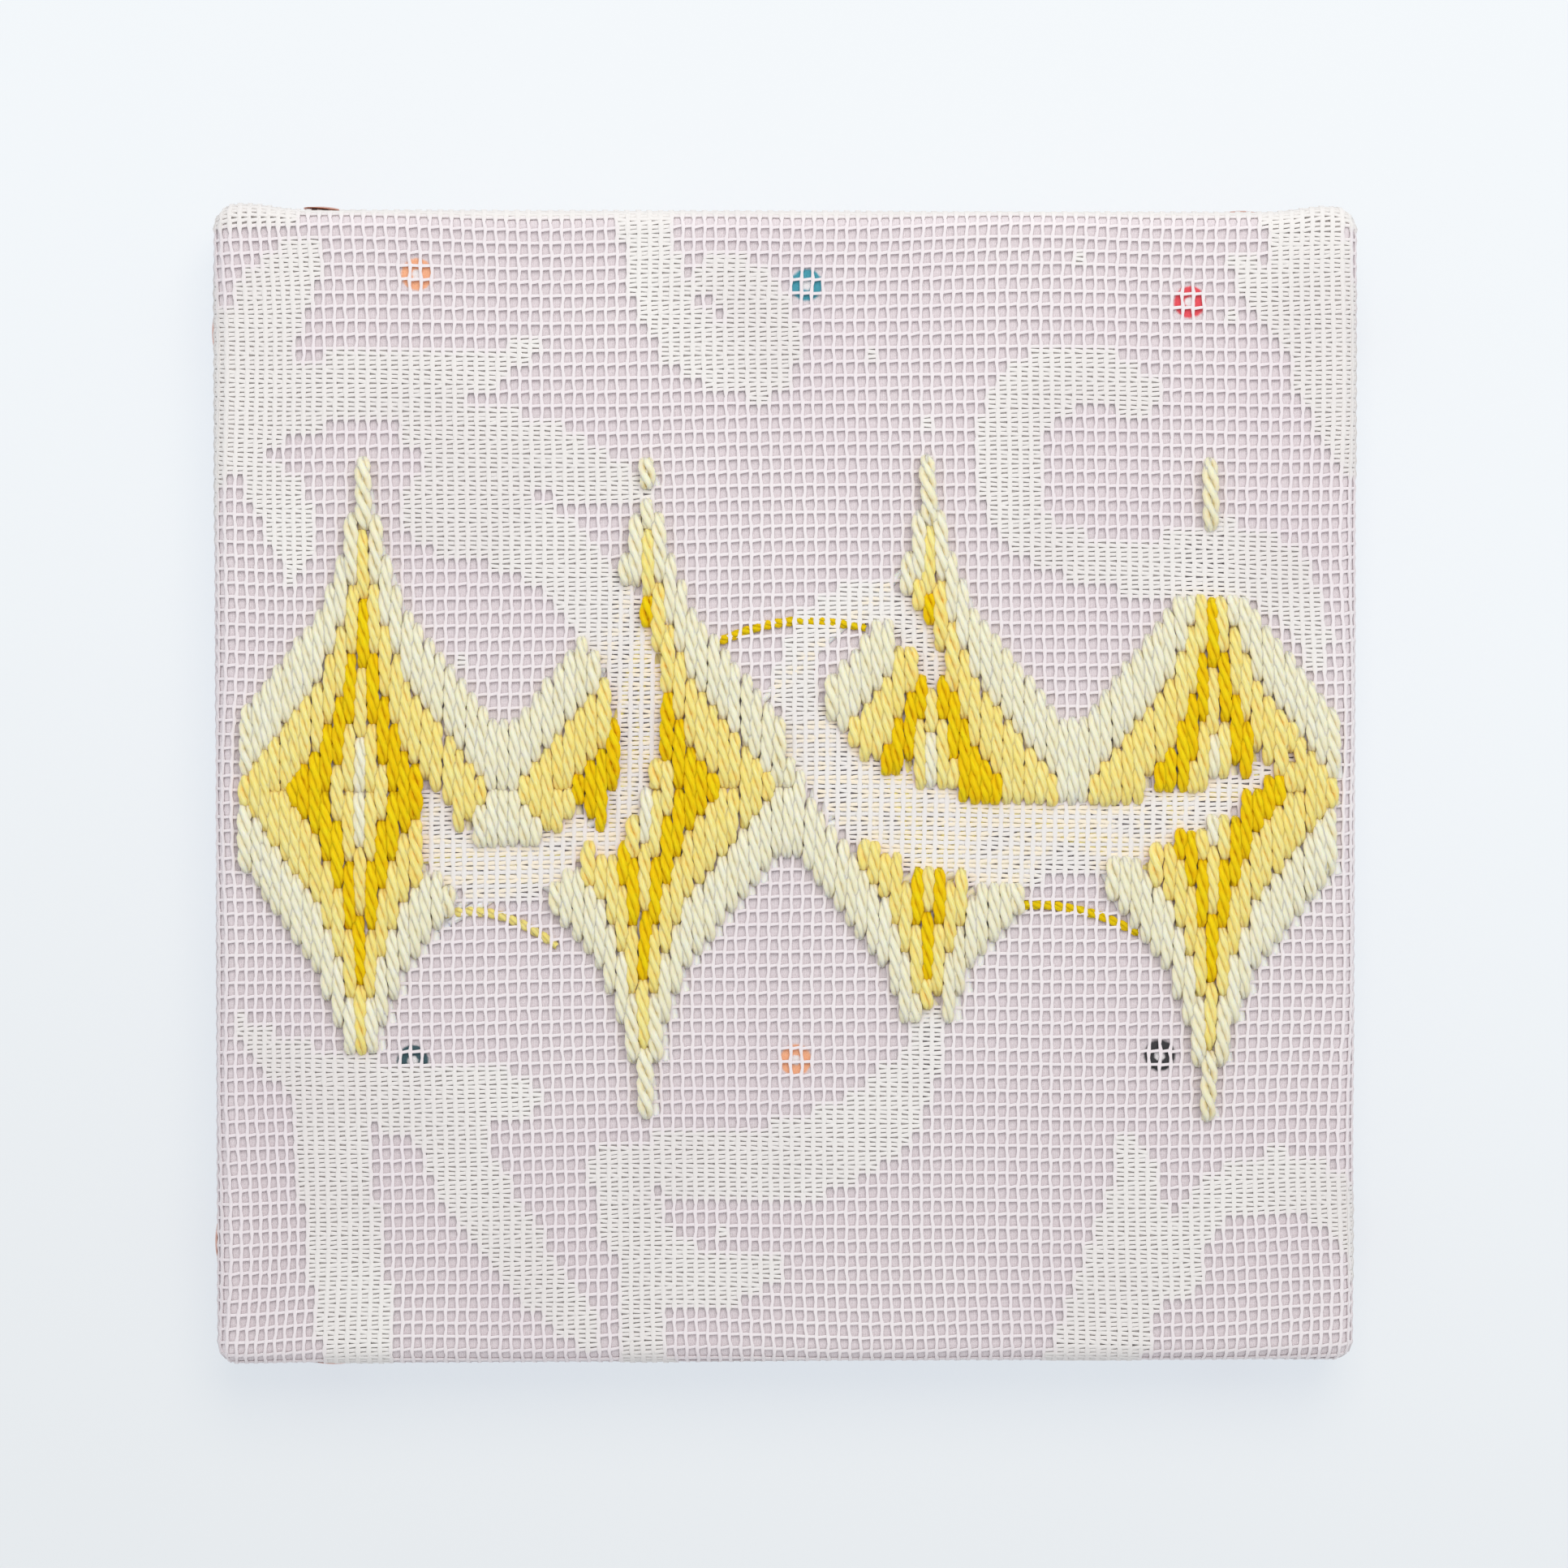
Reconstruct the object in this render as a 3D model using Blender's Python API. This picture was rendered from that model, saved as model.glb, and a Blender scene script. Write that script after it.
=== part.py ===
"""An embroidered net panel on a stretcher frame, lying on its back.

A ground cloth and a knitted net over it are wrapped round four mitred bars and held at
the sides by domed drawing pins. Rows of upright flame stitch in thick yarn stand proud
of the net. +X is the panel's right, +Y its top and +Z the side that faces the viewer.
The origin is in the middle of the back, on the face that the panel lies on.
"""
import math
from collections import namedtuple

import bmesh
import bpy
from mathutils import Matrix, Vector

MM = 0.001

# Clearance between pieces that touch, and how close points are one and the same
GAP = 0.3 * MM
SAME_PLACE = 0.001 * MM

# Stretcher frame: four bars, mitred at the corners, falling away behind the cloth
FRAME_WIDTH = 198 * MM
FRAME_HEIGHT = 200 * MM
BAR_WIDTH = 28 * MM
BAR_DEPTH = 16 * MM
BAR_FRONT_FALL = 1.5 * MM
BAR_EDGE_ROUND = 1.5 * MM
BAR_TIP_BLUNT = 1.2 * MM

# Both sheets: ground cloth next to the wood, net over it
SHEET_THICK = 1.0 * MM
GROUND_TURN_IN = 20 * MM
GROUND_BACK_ROUND = 1.4 * MM
GROUND_FRONT_ROUND = 2.8 * MM
NET_FRONT_ROUND = 4.1 * MM
NET_EDGE_HEIGHT = 1.6 * MM
CORNER_STEPS = 5
ARC_STEPS = 3
SHARPEST_CORNER = 0.5 * MM

# Loose places of the net at the two upper corners
SLACK_DEPTH = 1.1 * MM
SLACK_FROM_MIDDLE = 95.5 * MM
SLACK_SPREAD = 6 * MM
SLACK_STATIONS = (80 * MM, 85 * MM, 90 * MM, 94 * MM)

# Levels, from the face that the panel lies on
BAR_BACK = SHEET_THICK + GAP
BAR_FRONT = BAR_BACK + BAR_DEPTH
GROUND_FRONT = BAR_FRONT + GAP + SHEET_THICK
NET_FRONT = GROUND_FRONT + GAP + SHEET_THICK
YARN_BACK = NET_FRONT + GAP

# How far each layer's outside stands from the frame's
GROUND_REACH = GAP + SHEET_THICK
NET_REACH = 2 * GROUND_REACH

# Drawing pins
PIN_HEAD_RADIUS = 4.75 * MM
PIN_HEAD_HEIGHT = 1.5 * MM
PIN_SHANK_RADIUS = 0.55 * MM
PIN_SHANK_LENGTH = 8 * MM
PIN_POINT_LENGTH = 1 * MM
PIN_HOLE_RADIUS = PIN_SHANK_RADIUS + GAP
PIN_SEGMENTS = 16
HOLE_SEGMENTS = 8
PIN_FROM_MIDDLE = 81 * MM

Pin = namedtuple("Pin", "side place along height")
PINS = (
    Pin("top", "left", -PIN_FROM_MIDDLE, 12 * MM),
    Pin("top", "right", PIN_FROM_MIDDLE, 12 * MM),
    Pin("left", "upper", PIN_FROM_MIDDLE, 10 * MM),
    Pin("left", "lower", -PIN_FROM_MIDDLE, 10 * MM),
    Pin("bottom", "left", -PIN_FROM_MIDDLE, 8 * MM),
    Pin("bottom", "right", PIN_FROM_MIDDLE, 7 * MM),
    Pin("right", "upper", PIN_FROM_MIDDLE, 7 * MM),
    Pin("right", "lower", -PIN_FROM_MIDDLE, 7 * MM),
)

# The net's mesh, which the stitches are counted on
MESH_WIDE = 1.925 * MM
MESH_HIGH = 2.43 * MM
MESH_COLUMNS = 105
MESH_ROWS = 84
EDGE_COLUMNS = 2

# Flame stitch: a chain of medallions, worked outwards in rows from its middle line.
# MEDALLION holds its half height in meshes, from a medallion's middle column outwards.
MEDALLION_REPEAT = 26
MEDALLION = (24, 20, 17, 15, 13, 12, 11, 10, 9, 8, 7, 6, 5, 5)
STITCH_LENGTH = 5
STITCH_COLOURS = ("ivory", "pale", "gold", "pale", "ivory")
YARN_THICK = 2.2 * MM
YARN_FOOT_INSET = 0.15 * MM
YARN_CROWN_INSET = 0.5 * MM
SMALLEST_AREA = 14

# Close-knitted leaves of the net that the stitches leave bare: the middle line of each
# as a curve through two controls, and its half widths at the start, middle and end (mm)
Leaf = namedtuple("Leaf", "start out_of into end wide_start wide_middle wide_end")
LEAVES = (
    Leaf((-66, 64), (-52, 62), (-38, 58), (-24, 52), 3, 6.5, 0.6),
    Leaf((-60, 50), (-36, 46), (-16, 18), (-32, -10), 8, 5.5, 2),
    Leaf((-62, -2), (-62, -16), (-46, -20), (-37, -8), 2, 5, 3),
    Leaf((39, 56), (37, 43), (54, 38), (72, 40), 5, 4, 6),
    Leaf((1, 18), (1, 37), (25, 37), (25, 20), 3, 3.5, 2),
    Leaf((1, 18), (6, -14), (54, -18), (88, 6), 3, 7, 0.6),
    Leaf((72, 40), (84, 44), (92, 36), (94, 24), 6, 6, 2),
    Leaf((26, -38), (24, -62), (2, -71), (-27, -66), 1, 7, 4),
    Leaf((-98, -42), (-82, -54), (-64, -56), (-48, -54), 2, 6, 4),
)
LEAF_STEPS = 28

# Material: colour, roughness, metallic
Finish = namedtuple("Finish", "colour roughness metallic")
FINISHES = {
    "pine": Finish((0.62, 0.43, 0.25), 0.6, 0.0),
    "ground_cotton": Finish((0.60, 0.51, 0.55), 0.85, 0.0),
    "net_cotton": Finish((0.76, 0.72, 0.73), 0.85, 0.0),
    "copper": Finish((0.72, 0.38, 0.26), 0.25, 1.0),
    "ivory_yarn": Finish((0.80, 0.76, 0.58), 0.6, 0.0),
    "pale_yarn": Finish((0.88, 0.68, 0.20), 0.6, 0.0),
    "gold_yarn": Finish((0.76, 0.50, 0.01), 0.6, 0.0),
}


def clear_scene():
    for obj in list(bpy.data.objects):
        bpy.data.objects.remove(obj, do_unlink=True)


def finish(name):
    material = bpy.data.materials.get(name)
    if material is None:
        material = bpy.data.materials.new(name)
        material.use_nodes = True
        shader = material.node_tree.nodes["Principled BSDF"]
        shader.inputs["Base Color"].default_value = (*FINISHES[name].colour, 1)
        shader.inputs["Roughness"].default_value = FINISHES[name].roughness
        shader.inputs["Metallic"].default_value = FINISHES[name].metallic
    return material


def add_object(name, mesh_data, finish_name):
    """Turn a bmesh into a named object with its faces pointing out."""
    bmesh.ops.recalc_face_normals(mesh_data, faces=mesh_data.faces)
    mesh = bpy.data.meshes.new(name)
    mesh_data.to_mesh(mesh)
    mesh_data.free()
    obj = bpy.data.objects.new(name, mesh)
    bpy.context.scene.collection.objects.link(obj)
    if finish_name:
        mesh.materials.append(finish(finish_name))
    return obj


def shade_round(obj, sharp_degrees=35):
    obj.data.shade_smooth()
    obj.data.set_sharp_from_angle(angle=math.radians(sharp_degrees))


def arc(inset, level, radius, start, end):
    """Section points of a fold, as how far in from the outside and how high."""
    angles = [math.radians(start + (end - start) * i / ARC_STEPS) for i in range(ARC_STEPS + 1)]
    return [(inset - radius * math.cos(a), level + radius * math.sin(a)) for a in angles]


def bar_section():
    """Section of a bar from its outer back corner round to its inner one: inset, level."""
    points = [(0, BAR_BACK)]
    points += arc(BAR_EDGE_ROUND, BAR_FRONT - BAR_EDGE_ROUND, BAR_EDGE_ROUND, 0, 90)
    points += [(BAR_WIDTH, BAR_FRONT - BAR_FRONT_FALL), (BAR_WIDTH, BAR_BACK)]
    return points


def make_bar(name, length, across, turn):
    """One bar: length along its outer edge, whose middle lies across from the frame's centre."""
    bar = bmesh.new()
    half = length / 2 - GAP * math.sqrt(0.5)
    stations = []
    for side, blunted in ((-1, True), (-1, False), (1, False), (1, True)):
        station = []
        for inset, level in bar_section():
            if blunted:
                inset = max(inset, BAR_TIP_BLUNT / 2)
            end = half - (inset if blunted else max(inset, BAR_TIP_BLUNT))
            station.append(bar.verts.new((side * end, across - inset, level)))
        stations.append(station)
    bar.faces.new(stations[0])
    bar.faces.new(stations[-1])
    count = len(bar_section())
    for left, right in zip(stations, stations[1:]):
        for i in range(count):
            following = (i + 1) % count
            bar.faces.new((left[i], right[i], right[following], left[following]))
    bmesh.ops.remove_doubles(bar, verts=bar.verts, dist=SAME_PLACE)
    bmesh.ops.rotate(bar, verts=bar.verts, cent=(0, 0, 0), matrix=Matrix.Rotation(turn, 3, "Z"))
    obj = add_object(name, bar, "pine")
    shade_round(obj)
    return obj


def make_frame():
    return [
        make_bar("stretcher_bar_top", FRAME_WIDTH, FRAME_HEIGHT / 2, 0),
        make_bar("stretcher_bar_left", FRAME_HEIGHT, FRAME_WIDTH / 2, math.pi / 2),
        make_bar("stretcher_bar_bottom", FRAME_WIDTH, FRAME_HEIGHT / 2, math.pi),
        make_bar("stretcher_bar_right", FRAME_HEIGHT, FRAME_WIDTH / 2, -math.pi / 2),
    ]


def rounded_ring(half_wide, half_high, inset, corner, top_stations):
    """Corner points of a rounded rectangle, anticlockwise, with extra points along its top."""
    radius = max(corner - inset, SHARPEST_CORNER)
    wide = half_wide - inset - radius
    high = half_high - inset - radius
    points = []
    for quarter, (x, y) in enumerate(((wide, high), (-wide, high), (-wide, -high), (wide, -high))):
        for step in range(CORNER_STEPS + 1):
            angle = math.pi / 2 * (quarter + step / CORNER_STEPS)
            points.append((x + radius * math.cos(angle), y + radius * math.sin(angle)))
        if quarter == 0:
            along = [x for x in reversed(top_stations)] + [-x for x in top_stations]
            points += [(x, high + radius) for x in along]
    return points


def slack(x, y, inset, half_high):
    """How far the net stands off upwards at the loose upper corners."""
    if y < half_high / 2:
        return 0
    fade = max(0, 1 - inset / NET_FRONT_ROUND)
    return SLACK_DEPTH * fade * math.exp(-((abs(x) - SLACK_FROM_MIDDLE) / SLACK_SPREAD) ** 2)


def sheet_section(front, front_round, depth, turn_in, raw_edge):
    """Section of a wrapped sheet's skin that lies depth inside its outside, from edge to front."""
    if turn_in:
        points = [(turn_in, depth)]
        points += arc(GROUND_BACK_ROUND, GROUND_BACK_ROUND, GROUND_BACK_ROUND - depth, -90, 0)
    else:
        points = [(depth, raw_edge)]
    return points + arc(front_round, front - front_round, front_round - depth, 0, 90)


def make_sheet(name, reach, front, front_round, turn_in, raw_edge, top_stations, loose, finish_name):
    """A sheet wrapped over the frame: flat front, rounded edges and four sides, in one piece."""
    sheet = bmesh.new()
    half_wide = FRAME_WIDTH / 2 + reach
    half_high = FRAME_HEIGHT / 2 + reach
    skins = []
    for depth in (0, SHEET_THICK):
        rings = []
        for inset, level in sheet_section(front, front_round, depth, turn_in, raw_edge):
            ring = []
            for x, y in rounded_ring(half_wide, half_high, inset, front_round, top_stations):
                lift = slack(x, y, inset, half_high) if loose else 0
                ring.append(sheet.verts.new((x, y + lift, level)))
            rings.append(ring)
        skins.append(rings)
    outside, inside = skins
    count = len(outside[0])
    for rings in skins:
        sheet.faces.new(rings[-1])
        for lower, upper in zip(rings, rings[1:]):
            for i in range(count):
                following = (i + 1) % count
                sheet.faces.new((lower[i], lower[following], upper[following], upper[i]))
    for i in range(count):
        following = (i + 1) % count
        sheet.faces.new((outside[0][i], outside[0][following], inside[0][following], inside[0][i]))
    obj = add_object(name, sheet, finish_name)
    shade_round(obj)
    return obj


def make_ground_cloth():
    return make_sheet("ground_cloth", GROUND_REACH, GROUND_FRONT, GROUND_FRONT_ROUND,
                      GROUND_TURN_IN, 0, (), False, "ground_cotton")


def make_net():
    return make_sheet("net", NET_REACH, NET_FRONT, NET_FRONT_ROUND,
                      0, NET_EDGE_HEIGHT, SLACK_STATIONS, True, "net_cotton")


def pin_placement(pin):
    """Places a pin that is modelled with its shank down -Z on the side that it is pushed into."""
    outward = {"top": (0, 1), "bottom": (0, -1), "left": (-1, 0), "right": (1, 0)}[pin.side]
    sideways = outward[0] != 0
    half = (FRAME_WIDTH if sideways else FRAME_HEIGHT) / 2 + NET_REACH + GAP
    if sideways:
        place = Vector((outward[0] * half, pin.along, pin.height))
    else:
        place = Vector((pin.along, outward[1] * half, pin.height))
    turn = Vector((*outward, 0)).to_track_quat("Z", "Y").to_matrix().to_4x4()
    return Matrix.Translation(place) @ turn


def turned(profile, segments, placement):
    """A closed turned solid from (radius, height) points whose two ends lie on the axis."""
    solid = bmesh.new()
    bottom = solid.verts.new((0, 0, profile[0][1]))
    top = solid.verts.new((0, 0, profile[-1][1]))
    rings = []
    for radius, height in profile[1:-1]:
        angles = [2 * math.pi * i / segments for i in range(segments)]
        rings.append([solid.verts.new((radius * math.cos(a), radius * math.sin(a), height)) for a in angles])
    for i in range(segments):
        following = (i + 1) % segments
        solid.faces.new((bottom, rings[0][following], rings[0][i]))
        solid.faces.new((top, rings[-1][i], rings[-1][following]))
        for lower, upper in zip(rings, rings[1:]):
            solid.faces.new((lower[i], lower[following], upper[following], upper[i]))
    bmesh.ops.transform(solid, matrix=placement, verts=solid.verts)
    return solid


def make_pin(pin):
    dome = []
    for degrees in (12, 35, 62):
        angle = math.radians(degrees)
        dome.append((PIN_HEAD_RADIUS * math.cos(angle), PIN_HEAD_HEIGHT * math.sin(angle)))
    profile = [
        (0, -PIN_SHANK_LENGTH),
        (PIN_SHANK_RADIUS, PIN_POINT_LENGTH - PIN_SHANK_LENGTH),
        (PIN_SHANK_RADIUS, 0),
        (PIN_HEAD_RADIUS, 0),
        *dome,
        (0, PIN_HEAD_HEIGHT),
    ]
    solid = turned(profile, PIN_SEGMENTS, pin_placement(pin))
    obj = add_object(f"drawing_pin_{pin.side}_{pin.place}", solid, "copper")
    shade_round(obj)
    return obj


def make_pin_holes():
    """Guide solid of all the shank holes, which cuts the sheets and the bars."""
    holes = bmesh.new()
    for pin in PINS:
        deepest = -PIN_SHANK_LENGTH - GAP
        placement = pin_placement(pin) @ Matrix.Translation((0, 0, deepest / 2))
        bmesh.ops.create_cone(
            holes, cap_ends=True, segments=HOLE_SEGMENTS, radius1=PIN_HOLE_RADIUS,
            radius2=PIN_HOLE_RADIUS, depth=-deepest, matrix=placement,
        )
    guide = add_object("pin_hole_cutter", holes, None)
    guide.hide_render = True
    guide.display_type = "WIRE"
    return guide


def cut_pin_holes(pieces, guide):
    for piece in pieces:
        cut = piece.modifiers.new("pin_holes", "BOOLEAN")
        cut.operation = "DIFFERENCE"
        cut.solver = "EXACT"
        cut.object = guide


def leaf_discs(leaf):
    """The leaf as discs along its middle line: x, y and radius."""
    discs = []
    for step in range(LEAF_STEPS + 1):
        t = step / LEAF_STEPS
        s = 1 - t
        weights = (s ** 3, 3 * s * s * t, 3 * s * t * t, t ** 3)
        points = (leaf.start, leaf.out_of, leaf.into, leaf.end)
        x = sum(w * p[0] for w, p in zip(weights, points))
        y = sum(w * p[1] for w, p in zip(weights, points))
        wide = s * (1 - 2 * t) * leaf.wide_start + 4 * s * t * leaf.wide_middle + t * (2 * t - 1) * leaf.wide_end
        discs.append((x * MM, y * MM, wide * MM))
    return discs


def stitch_row_at(column, row, discs):
    """Which half and which row of stitches covers a mesh of the net, or None."""
    x = (column - (MESH_COLUMNS - 1) / 2) * MESH_WIDE
    y = (row - (MESH_ROWS - 1) / 2) * MESH_HIGH
    if any(math.hypot(x - cx, y - cy) < radius for cx, cy, radius in discs):
        return None
    from_middle = (column - MEDALLION_REPEAT // 2) % MEDALLION_REPEAT
    from_middle = min(from_middle, MEDALLION_REPEAT - from_middle)
    upper = row >= MESH_ROWS // 2
    from_line = row - MESH_ROWS // 2 if upper else MESH_ROWS // 2 - 1 - row
    below_outline = MEDALLION[from_middle] - 1 - from_line
    if below_outline < 0:
        return None
    return upper, min(below_outline // STITCH_LENGTH, len(STITCH_COLOURS) - 1)


def stitched_areas():
    """Meshes of the net grouped into areas that one row of stitches covers without a break."""
    discs = [disc for leaf in LEAVES for disc in leaf_discs(leaf)]
    open_meshes = {}
    for column in range(EDGE_COLUMNS, MESH_COLUMNS - EDGE_COLUMNS):
        for row in range(MESH_ROWS):
            stitch_row = stitch_row_at(column, row, discs)
            if stitch_row is not None:
                open_meshes[column, row] = stitch_row
    areas = []
    while open_meshes:
        first, stitch_row = next(iter(open_meshes.items()))
        del open_meshes[first]
        area = [first]
        for column, row in area:
            for beside in ((column + 1, row), (column - 1, row), (column, row + 1), (column, row - 1)):
                if open_meshes.get(beside) == stitch_row:
                    del open_meshes[beside]
                    area.append(beside)
        if len(area) >= SMALLEST_AREA:
            areas.append((STITCH_COLOURS[stitch_row[1]], set(area)))
    return areas


def corner_place(area, mesh, i, j, inset):
    """Where corner (i, j) of the mesh grid lies for an area whose outline is drawn in by inset.

    Where two meshes of the area meet by this corner alone, each gets a corner of its own.
    """
    around = {(i + a, j + b) for a in (-1, 0) for b in (-1, 0)} & area
    apart = len(around) == 2 and len({c for c, r in around}) == 2 and len({r for c, r in around}) == 2
    if apart:
        around = {mesh}
    pull_x = sum(1 if c == i else -1 for c, r in around)
    pull_y = sum(1 if r == j else -1 for c, r in around)
    pull_x = (pull_x > 0) - (pull_x < 0)
    pull_y = (pull_y > 0) - (pull_y < 0)
    x = (i - MESH_COLUMNS / 2) * MESH_WIDE + pull_x * inset
    y = (j - MESH_ROWS / 2) * MESH_HIGH + pull_y * inset
    return (i, j, mesh if apart else None), x, y


def make_stitched_area(name, area, finish_name):
    """A raised area of stitches: foot on the net, crown a little narrower."""
    relief = bmesh.new()
    levels = []
    for level, inset in ((YARN_BACK, YARN_FOOT_INSET), (YARN_BACK + YARN_THICK, YARN_CROWN_INSET)):
        corners = {}
        faces = {}
        for mesh in sorted(area):
            column, row = mesh
            loop = []
            for i, j in ((column, row), (column + 1, row), (column + 1, row + 1), (column, row + 1)):
                key, x, y = corner_place(area, mesh, i, j, inset)
                if key not in corners:
                    corners[key] = relief.verts.new((x, y, level))
                loop.append(corners[key])
            relief.faces.new(loop)
            faces[mesh] = loop
        levels.append(faces)
    foot, crown = levels
    for mesh in sorted(area):
        column, row = mesh
        neighbours = ((column, row - 1), (column + 1, row), (column, row + 1), (column - 1, row))
        for side, beside in enumerate(neighbours):
            if beside not in area:
                following = (side + 1) % len(neighbours)
                relief.faces.new((foot[mesh][side], foot[mesh][following],
                                  crown[mesh][following], crown[mesh][side]))
    bmesh.ops.recalc_face_normals(relief, faces=relief.faces)
    bmesh.ops.dissolve_limit(relief, angle_limit=math.radians(1), verts=relief.verts, edges=relief.edges)
    return add_object(name, relief, finish_name)


def make_stitches():
    numbers = {colour: 0 for colour in STITCH_COLOURS}
    for colour, area in stitched_areas():
        numbers[colour] += 1
        make_stitched_area(f"{colour}_stitches_{numbers[colour]:02d}", area, f"{colour}_yarn")


def build():
    clear_scene()
    bars = make_frame()
    ground_cloth = make_ground_cloth()
    net = make_net()
    for pin in PINS:
        make_pin(pin)
    cut_pin_holes([*bars, ground_cloth, net], make_pin_holes())
    make_stitches()


build()
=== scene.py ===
"""Looks of the embroidered net panel: threads, stitches, cloth, pins, floor, light and camera.

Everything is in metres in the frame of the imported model: +X is the panel's right, +Y its
top and +Z out of its front.
"""
import math
from collections import namedtuple

import bpy
import numpy as np
from mathutils import Matrix, Vector


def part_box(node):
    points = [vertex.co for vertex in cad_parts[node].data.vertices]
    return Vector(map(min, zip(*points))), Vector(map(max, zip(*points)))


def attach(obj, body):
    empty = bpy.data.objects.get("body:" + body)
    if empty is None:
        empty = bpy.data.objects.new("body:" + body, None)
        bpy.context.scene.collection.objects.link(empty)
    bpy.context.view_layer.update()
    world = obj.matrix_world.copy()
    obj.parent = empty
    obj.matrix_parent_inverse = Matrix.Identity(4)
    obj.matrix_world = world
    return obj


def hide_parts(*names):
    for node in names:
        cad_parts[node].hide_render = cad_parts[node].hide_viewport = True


MM = 0.001

# The net's mesh, which the stitches are counted on
MESH_WIDE = 1.925 * MM
MESH_HIGH = 2.43 * MM
MESH_COLUMNS = 105
MESH_ROWS = 84
EDGE_COLUMNS = 2

# Flame stitch: half heights of a medallion in meshes, from its middle column outwards
MEDALLION_REPEAT = 26
MEDALLION = (24, 20, 17, 15, 13, 12, 11, 10, 9, 8, 7, 6, 5, 5)
STITCH_LENGTH = 5
STITCH_COLOURS = ("ivory", "pale", "gold", "pale", "ivory")

# Close-knitted scroll leaves of the net: the middle line of each as a curve through two
# controls, and its half widths at the start, middle and end (mm)
Leaf = namedtuple("Leaf", "start out_of into end wide_start wide_middle wide_end")
LEAVES = [Leaf(*row) for row in (
    ((-66, 64), (-52, 62), (-38, 58), (-24, 52), 3, 6.5, 0.6),
    ((-60, 50), (-36, 46), (-16, 18), (-32, -10), 8, 5.5, 2),
    ((-62, -2), (-62, -16), (-46, -20), (-37, -8), 2, 5, 3),
    ((39, 56), (37, 43), (54, 38), (72, 40), 5, 4, 6),
    ((1, 18), (1, 37), (25, 37), (25, 20), 3, 3.5, 2),
    ((1, 18), (6, -14), (54, -18), (88, 6), 3, 7, 0.6),
    ((72, 40), (84, 44), (92, 36), (94, 24), 6, 6, 2),
    ((26, -38), (24, -62), (2, -71), (-27, -66), 1, 7, 4),
    ((-98, -42), (-82, -54), (-64, -56), (-48, -54), 2, 6, 4),
    ((-100, 58), (-84, 80), (-62, 66), (-43, 80), 3, 6, 0.6),
    ((-99, 58), (-90, 56), (-87, 46), (-88, 37), 1.5, 5, 0.6),
    ((-83, 94), (-92, 92), (-92, 82), (-98, 72), 2, 7, 6),
    ((-118, 96), (-104, 84), (-102, 66), (-112, 44), 5, 7, 5),
    ((-26, 118), (-26, 84), (-18, 76), (-5, 76), 4, 5, 7),
    ((-5, 76), (-3, 78), (-4, 91), (-12, 90), 7, 6, 4),
    ((84, 112), (98, 96), (91, 80), (104, 60), 3, 8, 5),
    ((79, 94), (86, 88), (90, 84), (97, 80), 1, 5, 6),
    ((40, 50), (35, 70), (50, 77), (62, 70), 5, 6, 4),
    ((-30, -68), (-27, -88), (-14, -92), (-2, -84), 5, 5.5, 2),
    ((-26, -84), (-27, -92), (-26, -98), (-25, -118), 4, 4.5, 5),
    ((70, -88), (70, -66), (96, -62), (106, -84), 3, 5, 5),
    ((59, -60), (68, -74), (56, -88), (50, -118), 0.6, 7, 8),
    ((-62, -56), (-56, -74), (-46, -86), (-36, -96), 6, 5.5, 3),
    ((-80, -56), (-82, -80), (-74, -94), (-76, -118), 7, 6.5, 6),
)]
LEAF_STEPS = 40

# The close-knitted band along the net's top edge, which starts lower near the corners, and
# single meshes that are filled by chance (column, row)
TOP_BAND = 101.2 * MM
CORNER_BAND = 2.5 * MM
CORNER_FROM = 86 * MM
STRAY_FILLED = ((60, 73), (65, 68), (93, 76), (79, 80), (22, 51), (84, 14), (46, 9))

# Threads of the net: a wale is thicker and pushed aside at each knot, and the threads of a
# leaf are thicker and straighter. Flatness is height over width, soft is how flatly shaded.
WALE_RADIUS = 0.235 * MM
WALE_AT_KNOT, WALE_BETWEEN = 1.45, 0.95
WALE_IN_LEAF = 1.38
WALE_RANGE = (0.94, 1.08)
WALE_UNEVEN = (0.035 * MM, 0.03 * MM)
ASIDE_AT_KNOT, ASIDE_BETWEEN = 0.10 * MM, -0.05 * MM
OUT_AT_KNOT, OUT_BETWEEN = 0.06 * MM, -0.02 * MM
LAID_RADIUS = 0.25 * MM
LAID_IN_LEAF = 0.2
LAID_UNEVEN = 0.04 * MM
LAID_SLANTS = (0.06 * MM, 0.13 * MM)
LAID_DEPTH = 0.03 * MM
LAID_FROM_WALE = 0.06
FILL_RADIUS = 0.315 * MM
FILL_THREADS = ((0.37, 0.29), (0.63, 0.71))
FILL_UNEVEN = 0.045 * MM
FILL_DEPTH, FILL_DEPTH_UNEVEN = 0.02 * MM, 0.03 * MM
FILL_FROM_WALE = 0.04
THREAD_RANGE = (0.9, 1.1)
THREAD_FLATNESS = 0.75
THREAD_SOFT = 0.6
THREAD_SIDES = 4
STRAIGHTER_IN_LEAF = 0.7
BACKING_DEPTH = 0.34 * MM
BACKING_HALF_WIDE = 0.6 * MM
BACKING_FLATNESS = 0.1
NET_MIDDLE_DEPTH = 0.62 * MM

# Yarn: a bundle of plies round its middle line, spread further across than upwards. Its
# creases, which get a painted shade, are where a ply's skin faces away from that line by less
# than CREASE_FROM.
PLIES = 3
PLY_SIDES = 6
PLY_RADIUS = 0.57 * MM
PLY_RANGE = (0.92, 1.08)
PLY_UNEVEN = 0.045
PLY_SPREAD = (0.66 * MM, 0.27 * MM)
PLY_SOFT = 0.12
CREASE_FROM = 0.9
FIBRE_LENGTH = 2 * MM
TWIST_PITCH = 10 * MM
TWIST_RANGE = (0.96, 1.04)
TURN_PER_COLUMN = 0.53
TURN_UNEVEN = 0.35

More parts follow.
